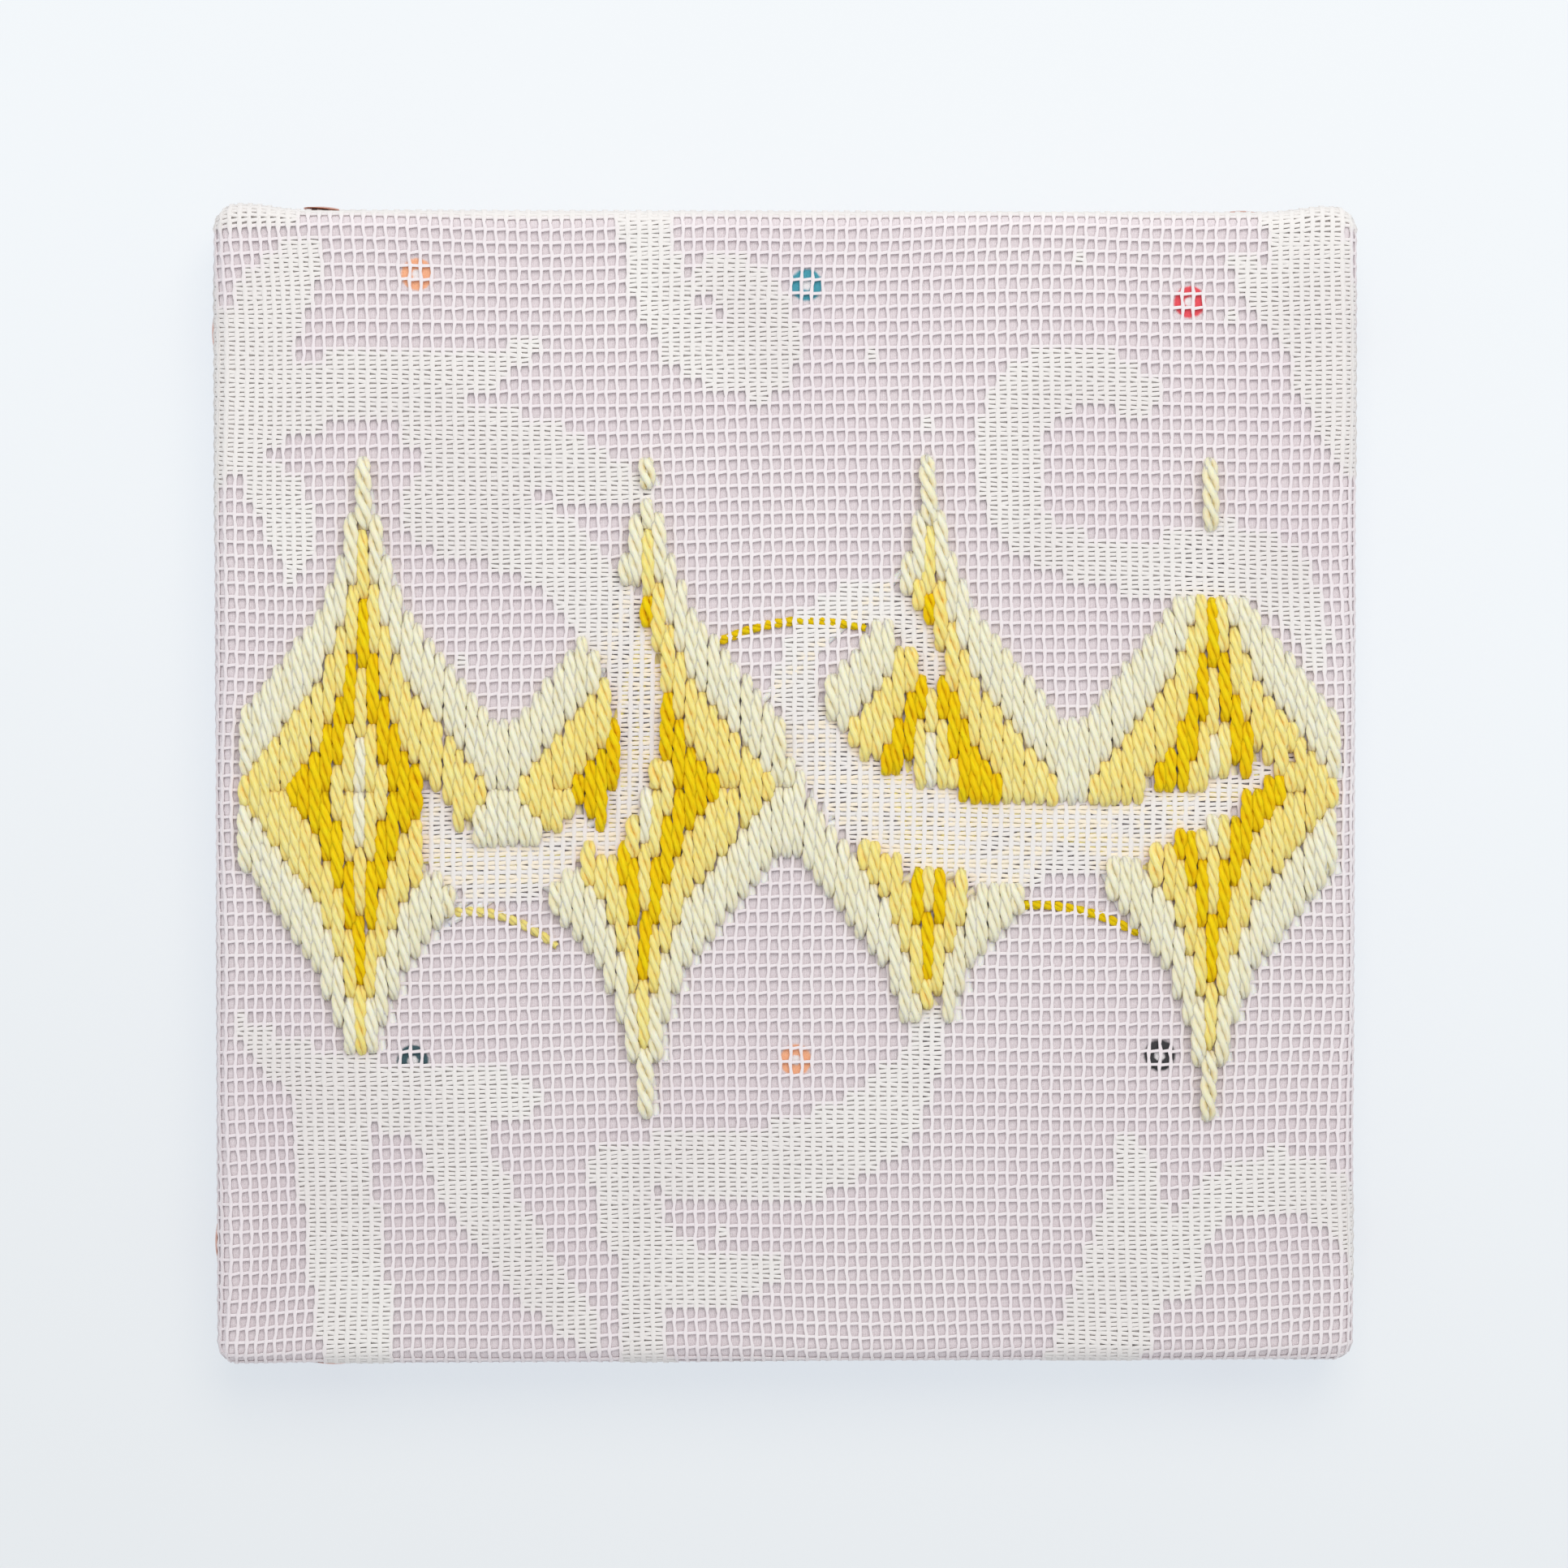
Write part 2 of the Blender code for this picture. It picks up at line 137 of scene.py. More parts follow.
# A stitch arches over its meshes and dives at its ends, where it is narrower: the first share
# is at its ends, the second what its middle adds. The powers say how near its ends that
# starts. Without a neighbour it is wider.
STITCH_STEPS = 14
STITCH_REACH = 0.14 * MM
END_UNEVEN = 0.12 * MM
STITCH_SWAY, STITCH_SLANT = 0.10 * MM, 0.12 * MM
STITCH_HEIGHT = 0.62 * MM
STITCH_ARCH = 0.50 * MM
ARCH_RANGE = (0.85, 1.15)
FULL_ARCH_LENGTH = 9 * MM
END_DIVE = 1.7 * MM
DIVE_POWER = 10
FULL_POWER = 6
SPREAD_SHARES = (0.4, 0.6)
RADIUS_SHARES = (0.7, 0.3)
WIDER_ALONE = 0.19
ASIDE_ALONE = 0.18 * MM
THICKER_WHERE_WIDER = 0.3
SHORTEST_STITCH = 2
LONGEST_OVER_MIDDLE = 6

# Long strands under open net, from one column and row to another, pressed by each wale
FLOATS = (((44.5, 52.2), (59.5, 53.6), "gold"), ((71.5, 33.4), (86.5, 31.0), "gold"),
          ((20.5, 33.0), (31.5, 30.6), "pale"))
FLOAT_STEPS = 120
FLOAT_TURNS = 6
FLOAT_PLY = 0.52 * MM
FLOAT_SPREAD = (0.4 * MM, 0.16 * MM)
FLOAT_SAG = 1.1
FLOAT_HEIGHT = 0.52 * MM
FLOAT_PRESSED = 0.26 * MM
FLOAT_FLATNESS = 0.8

# Yarn behind the net: strands carried past the leaves, and the stitches' backs. Its half
# widths are in mm.
CARRIED_PER_SHADE = 30
CARRIED_TRIES = 6000
CARRIED_STEPS = 16
CARRIED_LENGTH = (9 * MM, 42 * MM)
CARRIED_PAST_LEAVES = 0.55
BACK_GOES_ON = 1.4
BEHIND_STEPS = 6
BEHIND_HEIGHT = 0.36 * MM
BEHIND_UNEVEN = 0.1 * MM
BEHIND_END_RISE = 0.2 * MM
BEHIND_BOW = 0.3 * MM
BEHIND_HALF_WIDE = (0.65, 0.85)
BEHIND_FLATNESS = 0.28

# Where the cloths lie, the radii of their edges, and the net's slack at its top edge
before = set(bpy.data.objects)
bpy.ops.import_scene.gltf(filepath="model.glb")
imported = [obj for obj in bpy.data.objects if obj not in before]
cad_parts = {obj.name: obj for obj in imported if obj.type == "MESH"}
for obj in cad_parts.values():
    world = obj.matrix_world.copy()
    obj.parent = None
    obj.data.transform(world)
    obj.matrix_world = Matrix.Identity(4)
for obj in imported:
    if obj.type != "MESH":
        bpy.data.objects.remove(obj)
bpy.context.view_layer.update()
NET_LOW, NET_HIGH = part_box("net")
GROUND_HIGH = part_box("ground_cloth")[1]
NET_HALF_WIDE = NET_HIGH.x
NET_HALF_HIGH = -NET_LOW.y
NET_FRONT = NET_HIGH.z
NET_EDGE = NET_LOW.z
NET_ROUND = 4.1 * MM
NET_TURN = NET_ROUND - NET_MIDDLE_DEPTH
GROUND_FRONT = GROUND_HIGH.z
GROUND_ROUND = 2.8 * MM
SLACK_DEPTH = 1.1 * MM
SLACK_FROM_MIDDLE = 95.5 * MM
SLACK_SPREAD = 6 * MM
# How far the net runs over an edge, from where its front stops being flat
SIDE_DROP = NET_TURN * math.pi / 2 + NET_FRONT - NET_ROUND - NET_EDGE - WALE_RADIUS

random = np.random.default_rng(7)


def linear(colour):
    """Linear values of a colour given as a screen shows it, 0 to 255."""
    parts = [c / 255 for c in colour]
    return tuple(c / 12.92 if c <= 0.04045 else ((c + 0.055) / 1.055) ** 2.4 for c in parts)


def nodes_named(start):
    """The model's nodes whose names start so."""
    return [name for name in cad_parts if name.startswith(start)]


# Materials

class Nodes:
    """Short hand for building a material's nodes."""

    def __init__(self, name):
        self.material = bpy.data.materials.new(name)
        self.material.use_nodes = True
        self.tree = self.material.node_tree
        self.shader = self.tree.nodes["Principled BSDF"]

    def set(self, **values):
        for name, value in values.items():
            self.shader.inputs[name.replace("_", " ")].default_value = value

    def feed(self, socket, value):
        """Links a socket to an output, or sets its value or colour."""
        if isinstance(value, bpy.types.NodeSocket):
            self.tree.links.new(value, socket)
        else:
            socket.default_value = (*value, 1) if socket.type == "RGBA" else value

    def node(self, kind, inputs=None, **settings):
        made = self.tree.nodes.new(kind)
        for name, value in settings.items():
            setattr(made, name, value)
        for name, value in (inputs or {}).items():
            self.feed(made.inputs[name], value)
        return made

    def math(self, operation, *values):
        made = self.node("ShaderNodeMath", operation=operation)
        for socket, value in zip(made.inputs, values):
            self.feed(socket, value)
        return made.outputs[0]

    def times(self, *values):
        return self.math("MULTIPLY", *values)

    def mix(self, factor, first, second):
        made = self.node("ShaderNodeMix", data_type="RGBA")
        for number, value in ((0, factor), (6, first), (7, second)):
            self.feed(made.inputs[number], value)
        return made.outputs[2]

    def ramp(self, value, low, high):
        """0 where value is at low, 1 at high, smooth between."""
        inputs = {"Value": value, "From Min": low, "From Max": high}
        made = self.node("ShaderNodeMapRange", inputs, interpolation_type="SMOOTHSTEP")
        return made.outputs[0]

    def place(self):
        """Where a point lies in its piece."""
        return self.node("ShaderNodeTexCoord").outputs["Object"]

    def tint(self):
        """The red and green that the piece's points carry."""
        tint = self.node("ShaderNodeAttribute", attribute_name="tint").outputs["Color"]
        split = self.node("ShaderNodeSeparateColor", {"Color": tint})
        return split.outputs[0], split.outputs[1]

    def link(self, output, name):
        self.tree.links.new(output, self.shader.inputs[name])

    def bump(self, height, strength, distance):
        inputs = {"Height": height, "Strength": strength, "Distance": distance}
        self.link(self.node("ShaderNodeBump", inputs).outputs[0], "Normal")


def noise(nodes, vector, scale, detail=2.0, stretch=(1, 1, 1)):
    """Soft noise with about scale patches to the metre, more along an axis stretched by more."""
    mapping = nodes.node("ShaderNodeMapping", {"Vector": vector, "Scale": stretch})
    inputs = {"Vector": mapping.outputs[0], "Scale": scale, "Detail": detail}
    return nodes.node("ShaderNodeTexNoise", inputs).outputs[0]


# The net's cotton: its darker and lighter patches in open net and in the leaves, the painted
# yellow light that yarn behind it lets through and how strong that is, its painted shade at
# its back, and its painted shade between its fibres
OPEN_THREAD = ((238, 228, 232), (243, 236, 237))
CLOSE_THREAD = ((232, 226, 224), (243, 240, 236))
PAINTED_YARN_LIGHT = (255, 238, 205)
PAINTED_YARN_LIGHT_SHARE = 0.62
BACKING_SHADE = (229, 223, 220)
FIBRE_SHADE = (222, 212, 215)
AT_NET_BACK = 2.0


def cotton_thread_material(name):
    """White cotton of the net's threads: purer white in the leaves, and yellowish over yarn, where
    yellow light from the yarn is painted on.

    The tint's red says how near the yarn is, and so how much painted yarn light the thread gets,
    its green how closely knitted the net is, or as AT_NET_BACK that the thread lies at its back
    and takes a painted shade.
    """
    nodes = Nodes(name)
    place = nodes.place()
    near_yarn, close = nodes.tint()
    patch = nodes.math("MULTIPLY_ADD", noise(nodes, place, 32), 1.8, -0.4)
    fuzz = noise(nodes, place, 2600, 3.0)
    open_colour = nodes.mix(patch, *map(linear, OPEN_THREAD))
    close_colour = nodes.mix(patch, *map(linear, CLOSE_THREAD))
    colour = nodes.mix(close, open_colour, close_colour)
    # Painted light: the yarn's yellow, as if let through the thread, is mixed in where yarn lies
    # behind.
    yarn_light_share = nodes.times(near_yarn, PAINTED_YARN_LIGHT_SHARE)
    colour = nodes.mix(yarn_light_share, colour, linear(PAINTED_YARN_LIGHT))
    # Painted shade: threads at the net's back take a greyer colour, standing in for the shade in
    # the wedges.
    at_back_shaded = nodes.math("GREATER_THAN", close, AT_NET_BACK - 0.5)
    colour = nodes.mix(at_back_shaded, colour, linear(BACKING_SHADE))
    # Painted shade between the fibres, where the fuzz noise is high.
    colour = nodes.mix(nodes.times(fuzz, 0.15), colour, linear(FIBRE_SHADE))
    nodes.link(colour, "Base Color")
    nodes.set(Roughness=0.9, Sheen_Weight=0.15)
    nodes.bump(fuzz, 0.25, 0.08 * MM)
    return nodes.material


# The ground cloth: its ribs' and weft's pitch and colours, and the rings printed on it with
# their inks, the white in their middles and the centre of each (mm)
RIB_PITCH = 0.27 * MM
WEFT_PITCH = 0.5 * MM
RIB_COLOURS = ((225, 214, 218), (240, 231, 234))
GROUND_PATCH = (239, 230, 232)
RING_OUTER = 2.8 * MM
RING_INNER = 0.85 * MM
RING_SOFT = 0.28 * MM
RING_RAGGED = 0.25 * MM
RING_MIDDLE = (250, 248, 248)
ORANGE, TEAL, RED = (255, 184, 138), (40, 158, 178), (240, 66, 82)
DARK_TEAL, BLACK = (24, 80, 90), (14, 24, 28)
RINGS = (
    ((-65.2, 90.7), ORANGE), ((3.4, 89.0), TEAL), ((71.2, 86.1), RED),
    ((-63.4, 21.1), TEAL), ((2.2, 20.4), RED), ((70.1, 19.8), ORANGE),
    ((-66.3, -48.1), DARK_TEAL), ((1.5, -48.1), ORANGE), ((66.2, -47.4), BLACK),
)


def ground_material():
    """Fine ribbed cotton in pale mauve, printed with small open rings."""
    nodes = Nodes("ground_cotton")
    place = nodes.place()
    split = nodes.node("ShaderNodeSeparateXYZ", {"Vector": place})
    x, y = split.outputs[0], split.outputs[1]
    front = nodes.math("GREATER_THAN", split.outputs[2], GROUND_FRONT - 0.3 * MM)
    wander = nodes.times(noise(nodes, place, 60), 1.2 * MM)
    over_ribs = nodes.times(nodes.math("ADD", x, wander), 2 * math.pi / RIB_PITCH)
    rib = nodes.math("SINE", over_ribs)
    weft = nodes.math("SINE", nodes.times(y, 2 * math.pi / WEFT_PITCH))
    rib_share = nodes.math("MULTIPLY_ADD", rib, 0.5, 0.5)
    patch = nodes.times(noise(nodes, place, 400, 3.0), 0.3)
    colour = nodes.mix(rib_share, *map(linear, RIB_COLOURS))
    colour = nodes.mix(patch, colour, linear(GROUND_PATCH))
    ragged = noise(nodes, place, 1500)
    ragged = nodes.math("MULTIPLY_ADD", ragged, 2 * RING_RAGGED, -RING_RAGGED)
    for (middle_x, middle_y), ink in RINGS:
        dx = nodes.math("SUBTRACT", x, middle_x * MM)
        dy = nodes.math("SUBTRACT", y, middle_y * MM)
        squares = [nodes.times(d, d) for d in (dx, dy)]
        far = nodes.math("SQRT", nodes.math("ADD", *squares))
        far = nodes.math("ADD", far, ragged)
        outer = nodes.ramp(far, RING_OUTER + RING_SOFT, RING_OUTER - RING_SOFT)
        inner = nodes.ramp(far, RING_INNER - RING_SOFT, RING_INNER + RING_SOFT)
        outer = nodes.times(outer, front)
        printed = nodes.times(outer, inner)
        blank = nodes.math("SUBTRACT", outer, printed)
        colour = nodes.mix(nodes.times(printed, 0.94), colour, linear(ink))
        colour = nodes.mix(nodes.times(blank, 0.8), colour, linear(RING_MIDDLE))
    nodes.link(colour, "Base Color")
    nodes.set(Roughness=0.9, Sheen_Weight=0.15)
    weave = nodes.math("ADD", rib, nodes.times(weft, 0.35))
    nodes.bump(weave, 0.5, 0.05 * MM)
    return nodes.material


# Yarn's colour where the light falls on it, in painted shade between its fibres (partly their
# own deeper tone), and in painted shade in the creases: of the stitches, and, painted lighter
# as if better lit, of the yarn that is seen through the net
YARN_SHADES = {
    "ivory": ((255, 251, 234), (243, 232, 190), (210, 184, 114)),
    "pale": ((255, 248, 188), (255, 216, 90), (244, 172, 40)),
    "gold": ((255, 229, 36), (240, 184, 0), (192, 112, 0)),
}
# Painted light: the yarn behind the net is the same yarn, given lighter, paler colours that stand
# in for light reaching it under the net.
BEHIND_SHADES_PAINTED_LIGHTER = {
    "ivory": ((255, 250, 242), (248, 240, 226), (242, 230, 206)),
    "pale": ((255, 245, 218), (255, 236, 194), (252, 226, 168)),
    "gold": ((255, 238, 164), (254, 226, 124), (248, 208, 84)),
}


def yarn_material(name, colours):
    """Soft cotton yarn: fine fibres along each ply in painted light and shade, a satin sheen, and
    a deeper colour in its creases as painted shade.

    The tint's red says how deep in a crease a point lies, and so how much painted shade it gets,
    and its green is the ply's own shade.
    """
    nodes = Nodes(name)
    light, deep, crease = map(linear, colours)
    along = nodes.node("ShaderNodeTexCoord").outputs["UV"]
    crease_shading, own_shade = nodes.tint()
    fibre = noise(nodes, along, 1.0, 4.0, (22, 1.3, 1))
    patch = noise(nodes, nodes.place(), 260)
    # Painted light and shade along the fibres: the noise mixes the shaded deep colour and the lit
    # colour, partly the fibres' own tone.
    colour = nodes.mix(nodes.math("MULTIPLY_ADD", fibre, 1.9, -0.45), deep, light)
    colour = nodes.mix(nodes.times(patch, 0.3), colour, light)
    colour = nodes.mix(nodes.times(own_shade, 0.4), colour, deep)
    # Painted shade: the crease colour where the tint's red is high.
    colour = nodes.mix(crease_shading, colour, crease)
    nodes.link(colour, "Base Color")
    nodes.set(Roughness=0.48, Specular_IOR_Level=0.4, Specular_Tint=(*light, 1),
              Sheen_Weight=0.1, Sheen_Roughness=0.4, Sheen_Tint=(*light, 1),
              Subsurface_Weight=0.5, Subsurface_Radius=(1, 0.8, 0.35), Subsurface_Scale=0.8 * MM)
    nodes.bump(fibre, 0.7, 0.16 * MM)
    return nodes.material


PINE = ((236, 208, 164), (209, 168, 112))
PINE_GRAIN = (190, 146, 94)
PINE_LONG_AXIS = 0.06
PINE_BANDS = 44.0


def pine_material(name, along):
    """Planed pine with its grain along an axis."""
    nodes = Nodes(name)
    place = nodes.place()
    stretch = tuple(PINE_LONG_AXIS if axis == along else 1.0 for axis in range(3))
    grain = noise(nodes, place, 420, 4.0, stretch)
    rings = noise(nodes, place, 110, 2.0, stretch)
    band = nodes.math("SINE", nodes.times(rings, PINE_BANDS))
    band = nodes.math("MULTIPLY_ADD", band, 0.5, 0.5)
    colour = nodes.mix(nodes.times(band, 0.55), *map(linear, PINE))
    colour = nodes.mix(nodes.times(grain, 0.4), colour, linear(PINE_GRAIN))
    nodes.link(colour, "Base Color")
    nodes.set(Roughness=0.62)
    nodes.bump(grain, 0.3, 0.15 * MM)
    return nodes.material


COPPER = ((226, 152, 118), (184, 104, 76))


def copper_material():
    """Polished copper plate with fine rubbing marks."""
    nodes = Nodes("copper")
    marks = noise(nodes, nodes.place(), 900, 3.0)
    nodes.link(nodes.mix(marks, *map(linear, COPPER)), "Base Color")
    nodes.link(nodes.math("MULTIPLY_ADD", marks, 0.2, 0.15), "Roughness")
    nodes.set(Metallic=1.0)
    return nodes.material


# Meshes

def make_object(name, verts, face_groups, material, uv=None, normals=None):
    """An object from points and arrays of equal-sided faces, shaded smooth."""
    mesh = bpy.data.meshes.new(name)
    mesh.vertices.add(len(verts))
    mesh.vertices.foreach_set("co", np.ascontiguousarray(verts, dtype=np.float32).ravel())
    loops = np.concatenate([faces.ravel() for faces in face_groups]).astype(np.int32)
    sizes = np.concatenate([np.full(len(faces), faces.shape[1]) for faces in face_groups])
    mesh.loops.add(len(loops))
    mesh.loops.foreach_set("vertex_index", loops)
    mesh.polygons.add(len(sizes))
    mesh.polygons.foreach_set("loop_start", (np.cumsum(sizes) - sizes).astype(np.int32))
    if uv is not None:
        layer = mesh.uv_layers.new(name="along")
        layer.data.foreach_set("uv", np.ascontiguousarray(uv[loops], dtype=np.float32).ravel())
    mesh.update(calc_edges=True)
    mesh.shade_smooth()
    if normals is not None:
        mesh.normals_split_custom_set_from_vertices(normals)
    mesh.materials.append(material)
    obj = bpy.data.objects.new(name, mesh)
    bpy.context.scene.collection.objects.link(obj)
    return obj


def unit(vectors):
    """Vectors along the last axis, brought to length 1."""
    return vectors / np.maximum(np.linalg.norm(vectors, axis=-1, keepdims=True), 1e-12)


class Tubes:
    """Collects many tubes with closed ends into one mesh."""

    def __init__(self, sides):
        self.sides = sides
        self.grow = 1 / math.cos(math.pi / sides)
        self.points, self.normals, self.uvs, self.tints = [], [], [], []
        self.walls, self.caps = [], []
        self.count = 0

    def add(self, lines, normals, radii, flat=1.0, tint=None, soft=0.0, middle=None):
        """Adds lines (tubes, points, 3): normals point away from the cloth, radii (tubes, points).

        Fibres soften a thread's shading: soft is how much it is shaded as the flat cloth is or,
        given its middle line, as the bundle that it is twisted into. A bundle's tint is worked
        out here: a painted shade in its creases, between its plies and low at its sides, and each
        ply's own shade.
        """
        tubes, steps = lines.shape[:2]
        along = unit(np.gradient(lines, axis=1))
        side = unit(np.cross(along, normals))
        out = np.cross(side, along)[:, :, None]
        side = side[:, :, None]
        angle = 2 * np.pi * (np.arange(self.sides) + 0.5) / self.sides
        cosine, sine = np.cos(angle)[:, None], np.sin(angle)[:, None]
        ring = cosine * side + flat * sine * out
        points = lines[:, :, None] + self.grow * radii[:, :, None, None] * ring
        if middle is None:
            shading = (1 - soft) * cosine * side + sine * out
        else:
            outward = unit(points - middle[:, :, None])
            facing = (outward * ring).sum(axis=3)
            # Painted shade: how far a point's skin faces in towards the bundle's middle, or down
            # at a ply's lower side, sets how much crease colour it gets.
            depth = np.clip((CREASE_FROM - facing) / CREASE_FROM, 0, 1)
            depth = np.maximum(depth, np.clip(0.5 - np.sin(angle), 0, 1)).ravel()
            own_shade = np.repeat(random.random(tubes), steps * self.sides)
            self.tints.append(np.stack([depth, own_shade], axis=-1))
            shading = soft * outward + (1 - soft) * ring
        self.normals.append(unit(shading).reshape(-1, 3))
        self.points.append(points.reshape(-1, 3))
        index = self.count + np.arange(points.size // 3).reshape(points.shape[:3])
        following = np.roll(index, -1, axis=2)
        walls = (index[:, :-1], index[:, 1:], following[:, 1:], following[:, :-1])
        self.walls.append(np.stack(walls, axis=-1).reshape(-1, 4))
        self.caps += [index[:, 0], index[:, -1, ::-1]]
        gaps = np.linalg.norm(np.diff(lines, axis=1), axis=2)
        length = np.concatenate([np.zeros((tubes, 1)), np.cumsum(gaps, axis=1)], axis=1)
        u = np.broadcast_to(np.arange(self.sides) / self.sides, index.shape)
        v = np.broadcast_to((length / FIBRE_LENGTH)[:, :, None], index.shape)
        self.uvs.append(np.stack([u, v], axis=-1).reshape(-1, 2) + random.random((1, 2)))
        if tint is not None:
            self.tints.append(np.repeat(tint.reshape(-1, 2), self.sides, axis=0))
        self.count += index.size

    def build(self, name, material):
        obj = make_object(name, np.concatenate(self.points),
                          [np.concatenate(self.walls), np.concatenate(self.caps)],
                          material, np.concatenate(self.uvs), np.concatenate(self.normals))
        if self.tints:
            layer = obj.data.color_attributes.new(name="tint", type="FLOAT_COLOR", domain="POINT")
            colours = np.ones((self.count, 4), np.float32)
            colours[:, :2] = np.concatenate(self.tints)
            layer.data.foreach_set("color", colours.ravel())
        return obj


# The net's lie

def smooth_step(x):
    x = np.clip(x, 0, 1)
    return x * x * (3 - 2 * x)


def lie(u, v):
    """Where the net's point that belongs at (u, v) really lies: pulled and slackened by hand.

    In mm: long waves all over, short ones that grow towards the edges, and edges pulled in.
    """
    x, y = u / MM, v / MM
    edge = smooth_step((np.abs(x) - 70) / 32) + smooth_step((np.abs(y) - 72) / 32)
    du = 0.42 * np.sin(y / 21 + x / 64 + 0.4)
    du = du + 0.26 * np.sin(y / 8.3 - x / 37 + 2.1) * (0.3 + edge)
    du = du + 1.9 * smooth_step((-82 - x) / 20) - 0.7 * smooth_step((x - 88) / 16)
    dv = 0.40 * np.sin(x / 27 - y / 70 + 1.3)
    dv = dv + 0.24 * np.sin(x / 9.1 + y / 31 + 0.2) * (0.3 + edge)
    dv = dv - 0.6 * smooth_step((y - 90) / 14)
    return u + du * MM, v + dv * MM


def wrap(u, v, out):
    """Places net points given in the flat over the front, its rounded edges and the sides.

    out is how far each stands outside the net's middle. Returns places and outward normals.
    """
    u, v = lie(u, v)
    flat_wide, flat_high = NET_HALF_WIDE - NET_ROUND, NET_HALF_HIGH - NET_ROUND
    over_x = np.maximum(np.abs(u) - flat_wide, 0) * np.sign(u)
    over_y = np.maximum(np.abs(v) - flat_high, 0) * np.sign(v)
    over = np.hypot(over_x, over_y)
    turn = np.minimum(over / NET_TURN, np.pi / 2)
    down = np.maximum(over - NET_TURN * np.pi / 2, 0)
    toward_x, toward_y = (part / np.maximum(over, 1e-9) for part in (over_x, over_y))
    reach, rise = (NET_TURN + out) * np.sin(turn), (NET_TURN + out) * np.cos(turn)
    x = np.clip(u, -flat_wide, flat_wide) + toward_x * reach
    y = np.clip(v, -flat_high, flat_high) + toward_y * reach
    z = NET_FRONT - NET_ROUND + rise - down
    slack = SLACK_DEPTH * np.exp(-((np.abs(x) - SLACK_FROM_MIDDLE) / SLACK_SPREAD) ** 2)
    y = y + np.where(v > 0, slack * np.sin(turn) * np.abs(toward_y), 0)
    normals = np.stack([toward_x * np.sin(turn), toward_y * np.sin(turn), np.cos(turn)], axis=-1)
    return np.stack([x, y, z], axis=-1), normals, over


def leaf_mask(u, v):
    """Which points lie in a close-knitted leaf."""
    inside = np.zeros(np.shape(u), bool)
    for leaf in LEAVES:
        points = np.array([leaf.start, leaf.out_of, leaf.into, leaf.end]) * MM
        for t in np.linspace(0, 1, LEAF_STEPS + 1):
            s = 1 - t
            cx, cy = np.array([s ** 3, 3 * s * s * t, 3 * s * t * t, t ** 3]) @ points
            wide = s * (1 - 2 * t) * leaf.wide_start + 4 * s * t * leaf.wide_middle
            wide += t * (2 * t - 1) * leaf.wide_end
            inside |= np.hypot(u - cx, v - cy) < wide * MM
    return inside


def thread_lines(half_size, mesh, count):
    """Places of one kind of thread, as whole meshes from the panel's left or lower edge."""
    reach = (half_size - NET_ROUND + SIDE_DROP) / mesh
    return np.arange(math.ceil(count / 2 - reach), math.floor(count / 2 + reach) + 1)


COLUMN_LINES = thread_lines(NET_HALF_WIDE, MESH_WIDE, MESH_COLUMNS)
ROW_LINES = thread_lines(NET_HALF_HIGH, MESH_HIGH, MESH_ROWS)


def across(column):
    """Place of a column of meshes, from the panel's middle."""
    return (column - MESH_COLUMNS / 2) * MESH_WIDE


def upward(row):
    """Place of a row of meshes, from the panel's middle."""
    return (row - MESH_ROWS / 2) * MESH_HIGH


def split_runs(keep, least=2):
    """Start and end of each run of True that has at least so many."""
    padded = np.concatenate([[False], keep, [False]])
    change = np.flatnonzero(padded[1:] != padded[:-1])
    return [(a, b) for a, b in zip(change[::2], change[1::2]) if b - a >= least]


def add_thread(tubes, u, v, out, radii, close, flatness=THREAD_FLATNESS):
    """A thread of the net along (u, v), as far down the sides as the net goes."""
    places, normals, over = wrap(u, v, out)
    tint = np.stack([np.zeros(len(close)), close], axis=-1)
    for a, b in split_runs(over <= SIDE_DROP):
        tubes.add(places[None, a:b], normals[None, a:b], radii[None, a:b], flatness,
                  tint[a:b], THREAD_SOFT)


def make_wales(material, filled):
    """The net's upright threads, a little zigzag, thicker at each knot and in the leaves."""
    half_rows = np.arange(2 * ROW_LINES[0], 2 * ROW_LINES[-1] + 1) / 2
    row_of = np.minimum(half_rows.astype(int), ROW_LINES[-1] - 1)
    knot = half_rows % 1 == 0
    aside = np.where(knot, ASIDE_AT_KNOT, ASIDE_BETWEEN)
    out = np.where(knot, OUT_AT_KNOT, OUT_BETWEEN)
    own_radii = np.where(knot, WALE_AT_KNOT, WALE_BETWEEN) * WALE_RADIUS
    tubes = Tubes(THREAD_SIDES)
    for column in COLUMN_LINES:
        close = [((column, r) in filled) + ((column - 1, r) in filled) for r in row_of]
        close = np.array(close) / 2
        zigzag = np.where((np.floor(half_rows) + column) % 2 == 0, 1, -1) * aside
        zigzag = zigzag + random.normal(0, WALE_UNEVEN[0], len(half_rows))
        u = across(column) + (1 - STRAIGHTER_IN_LEAF * close) * zigzag
        v = upward(half_rows) + random.normal(0, WALE_UNEVEN[1], len(half_rows))
        radii = own_radii * random.uniform(*WALE_RANGE, len(half_rows))
        radii = radii * (1 + (WALE_IN_LEAF - 1) * close)
        add_thread(tubes, u, v, out, radii, close)
    return tubes.build("net_wales", material)


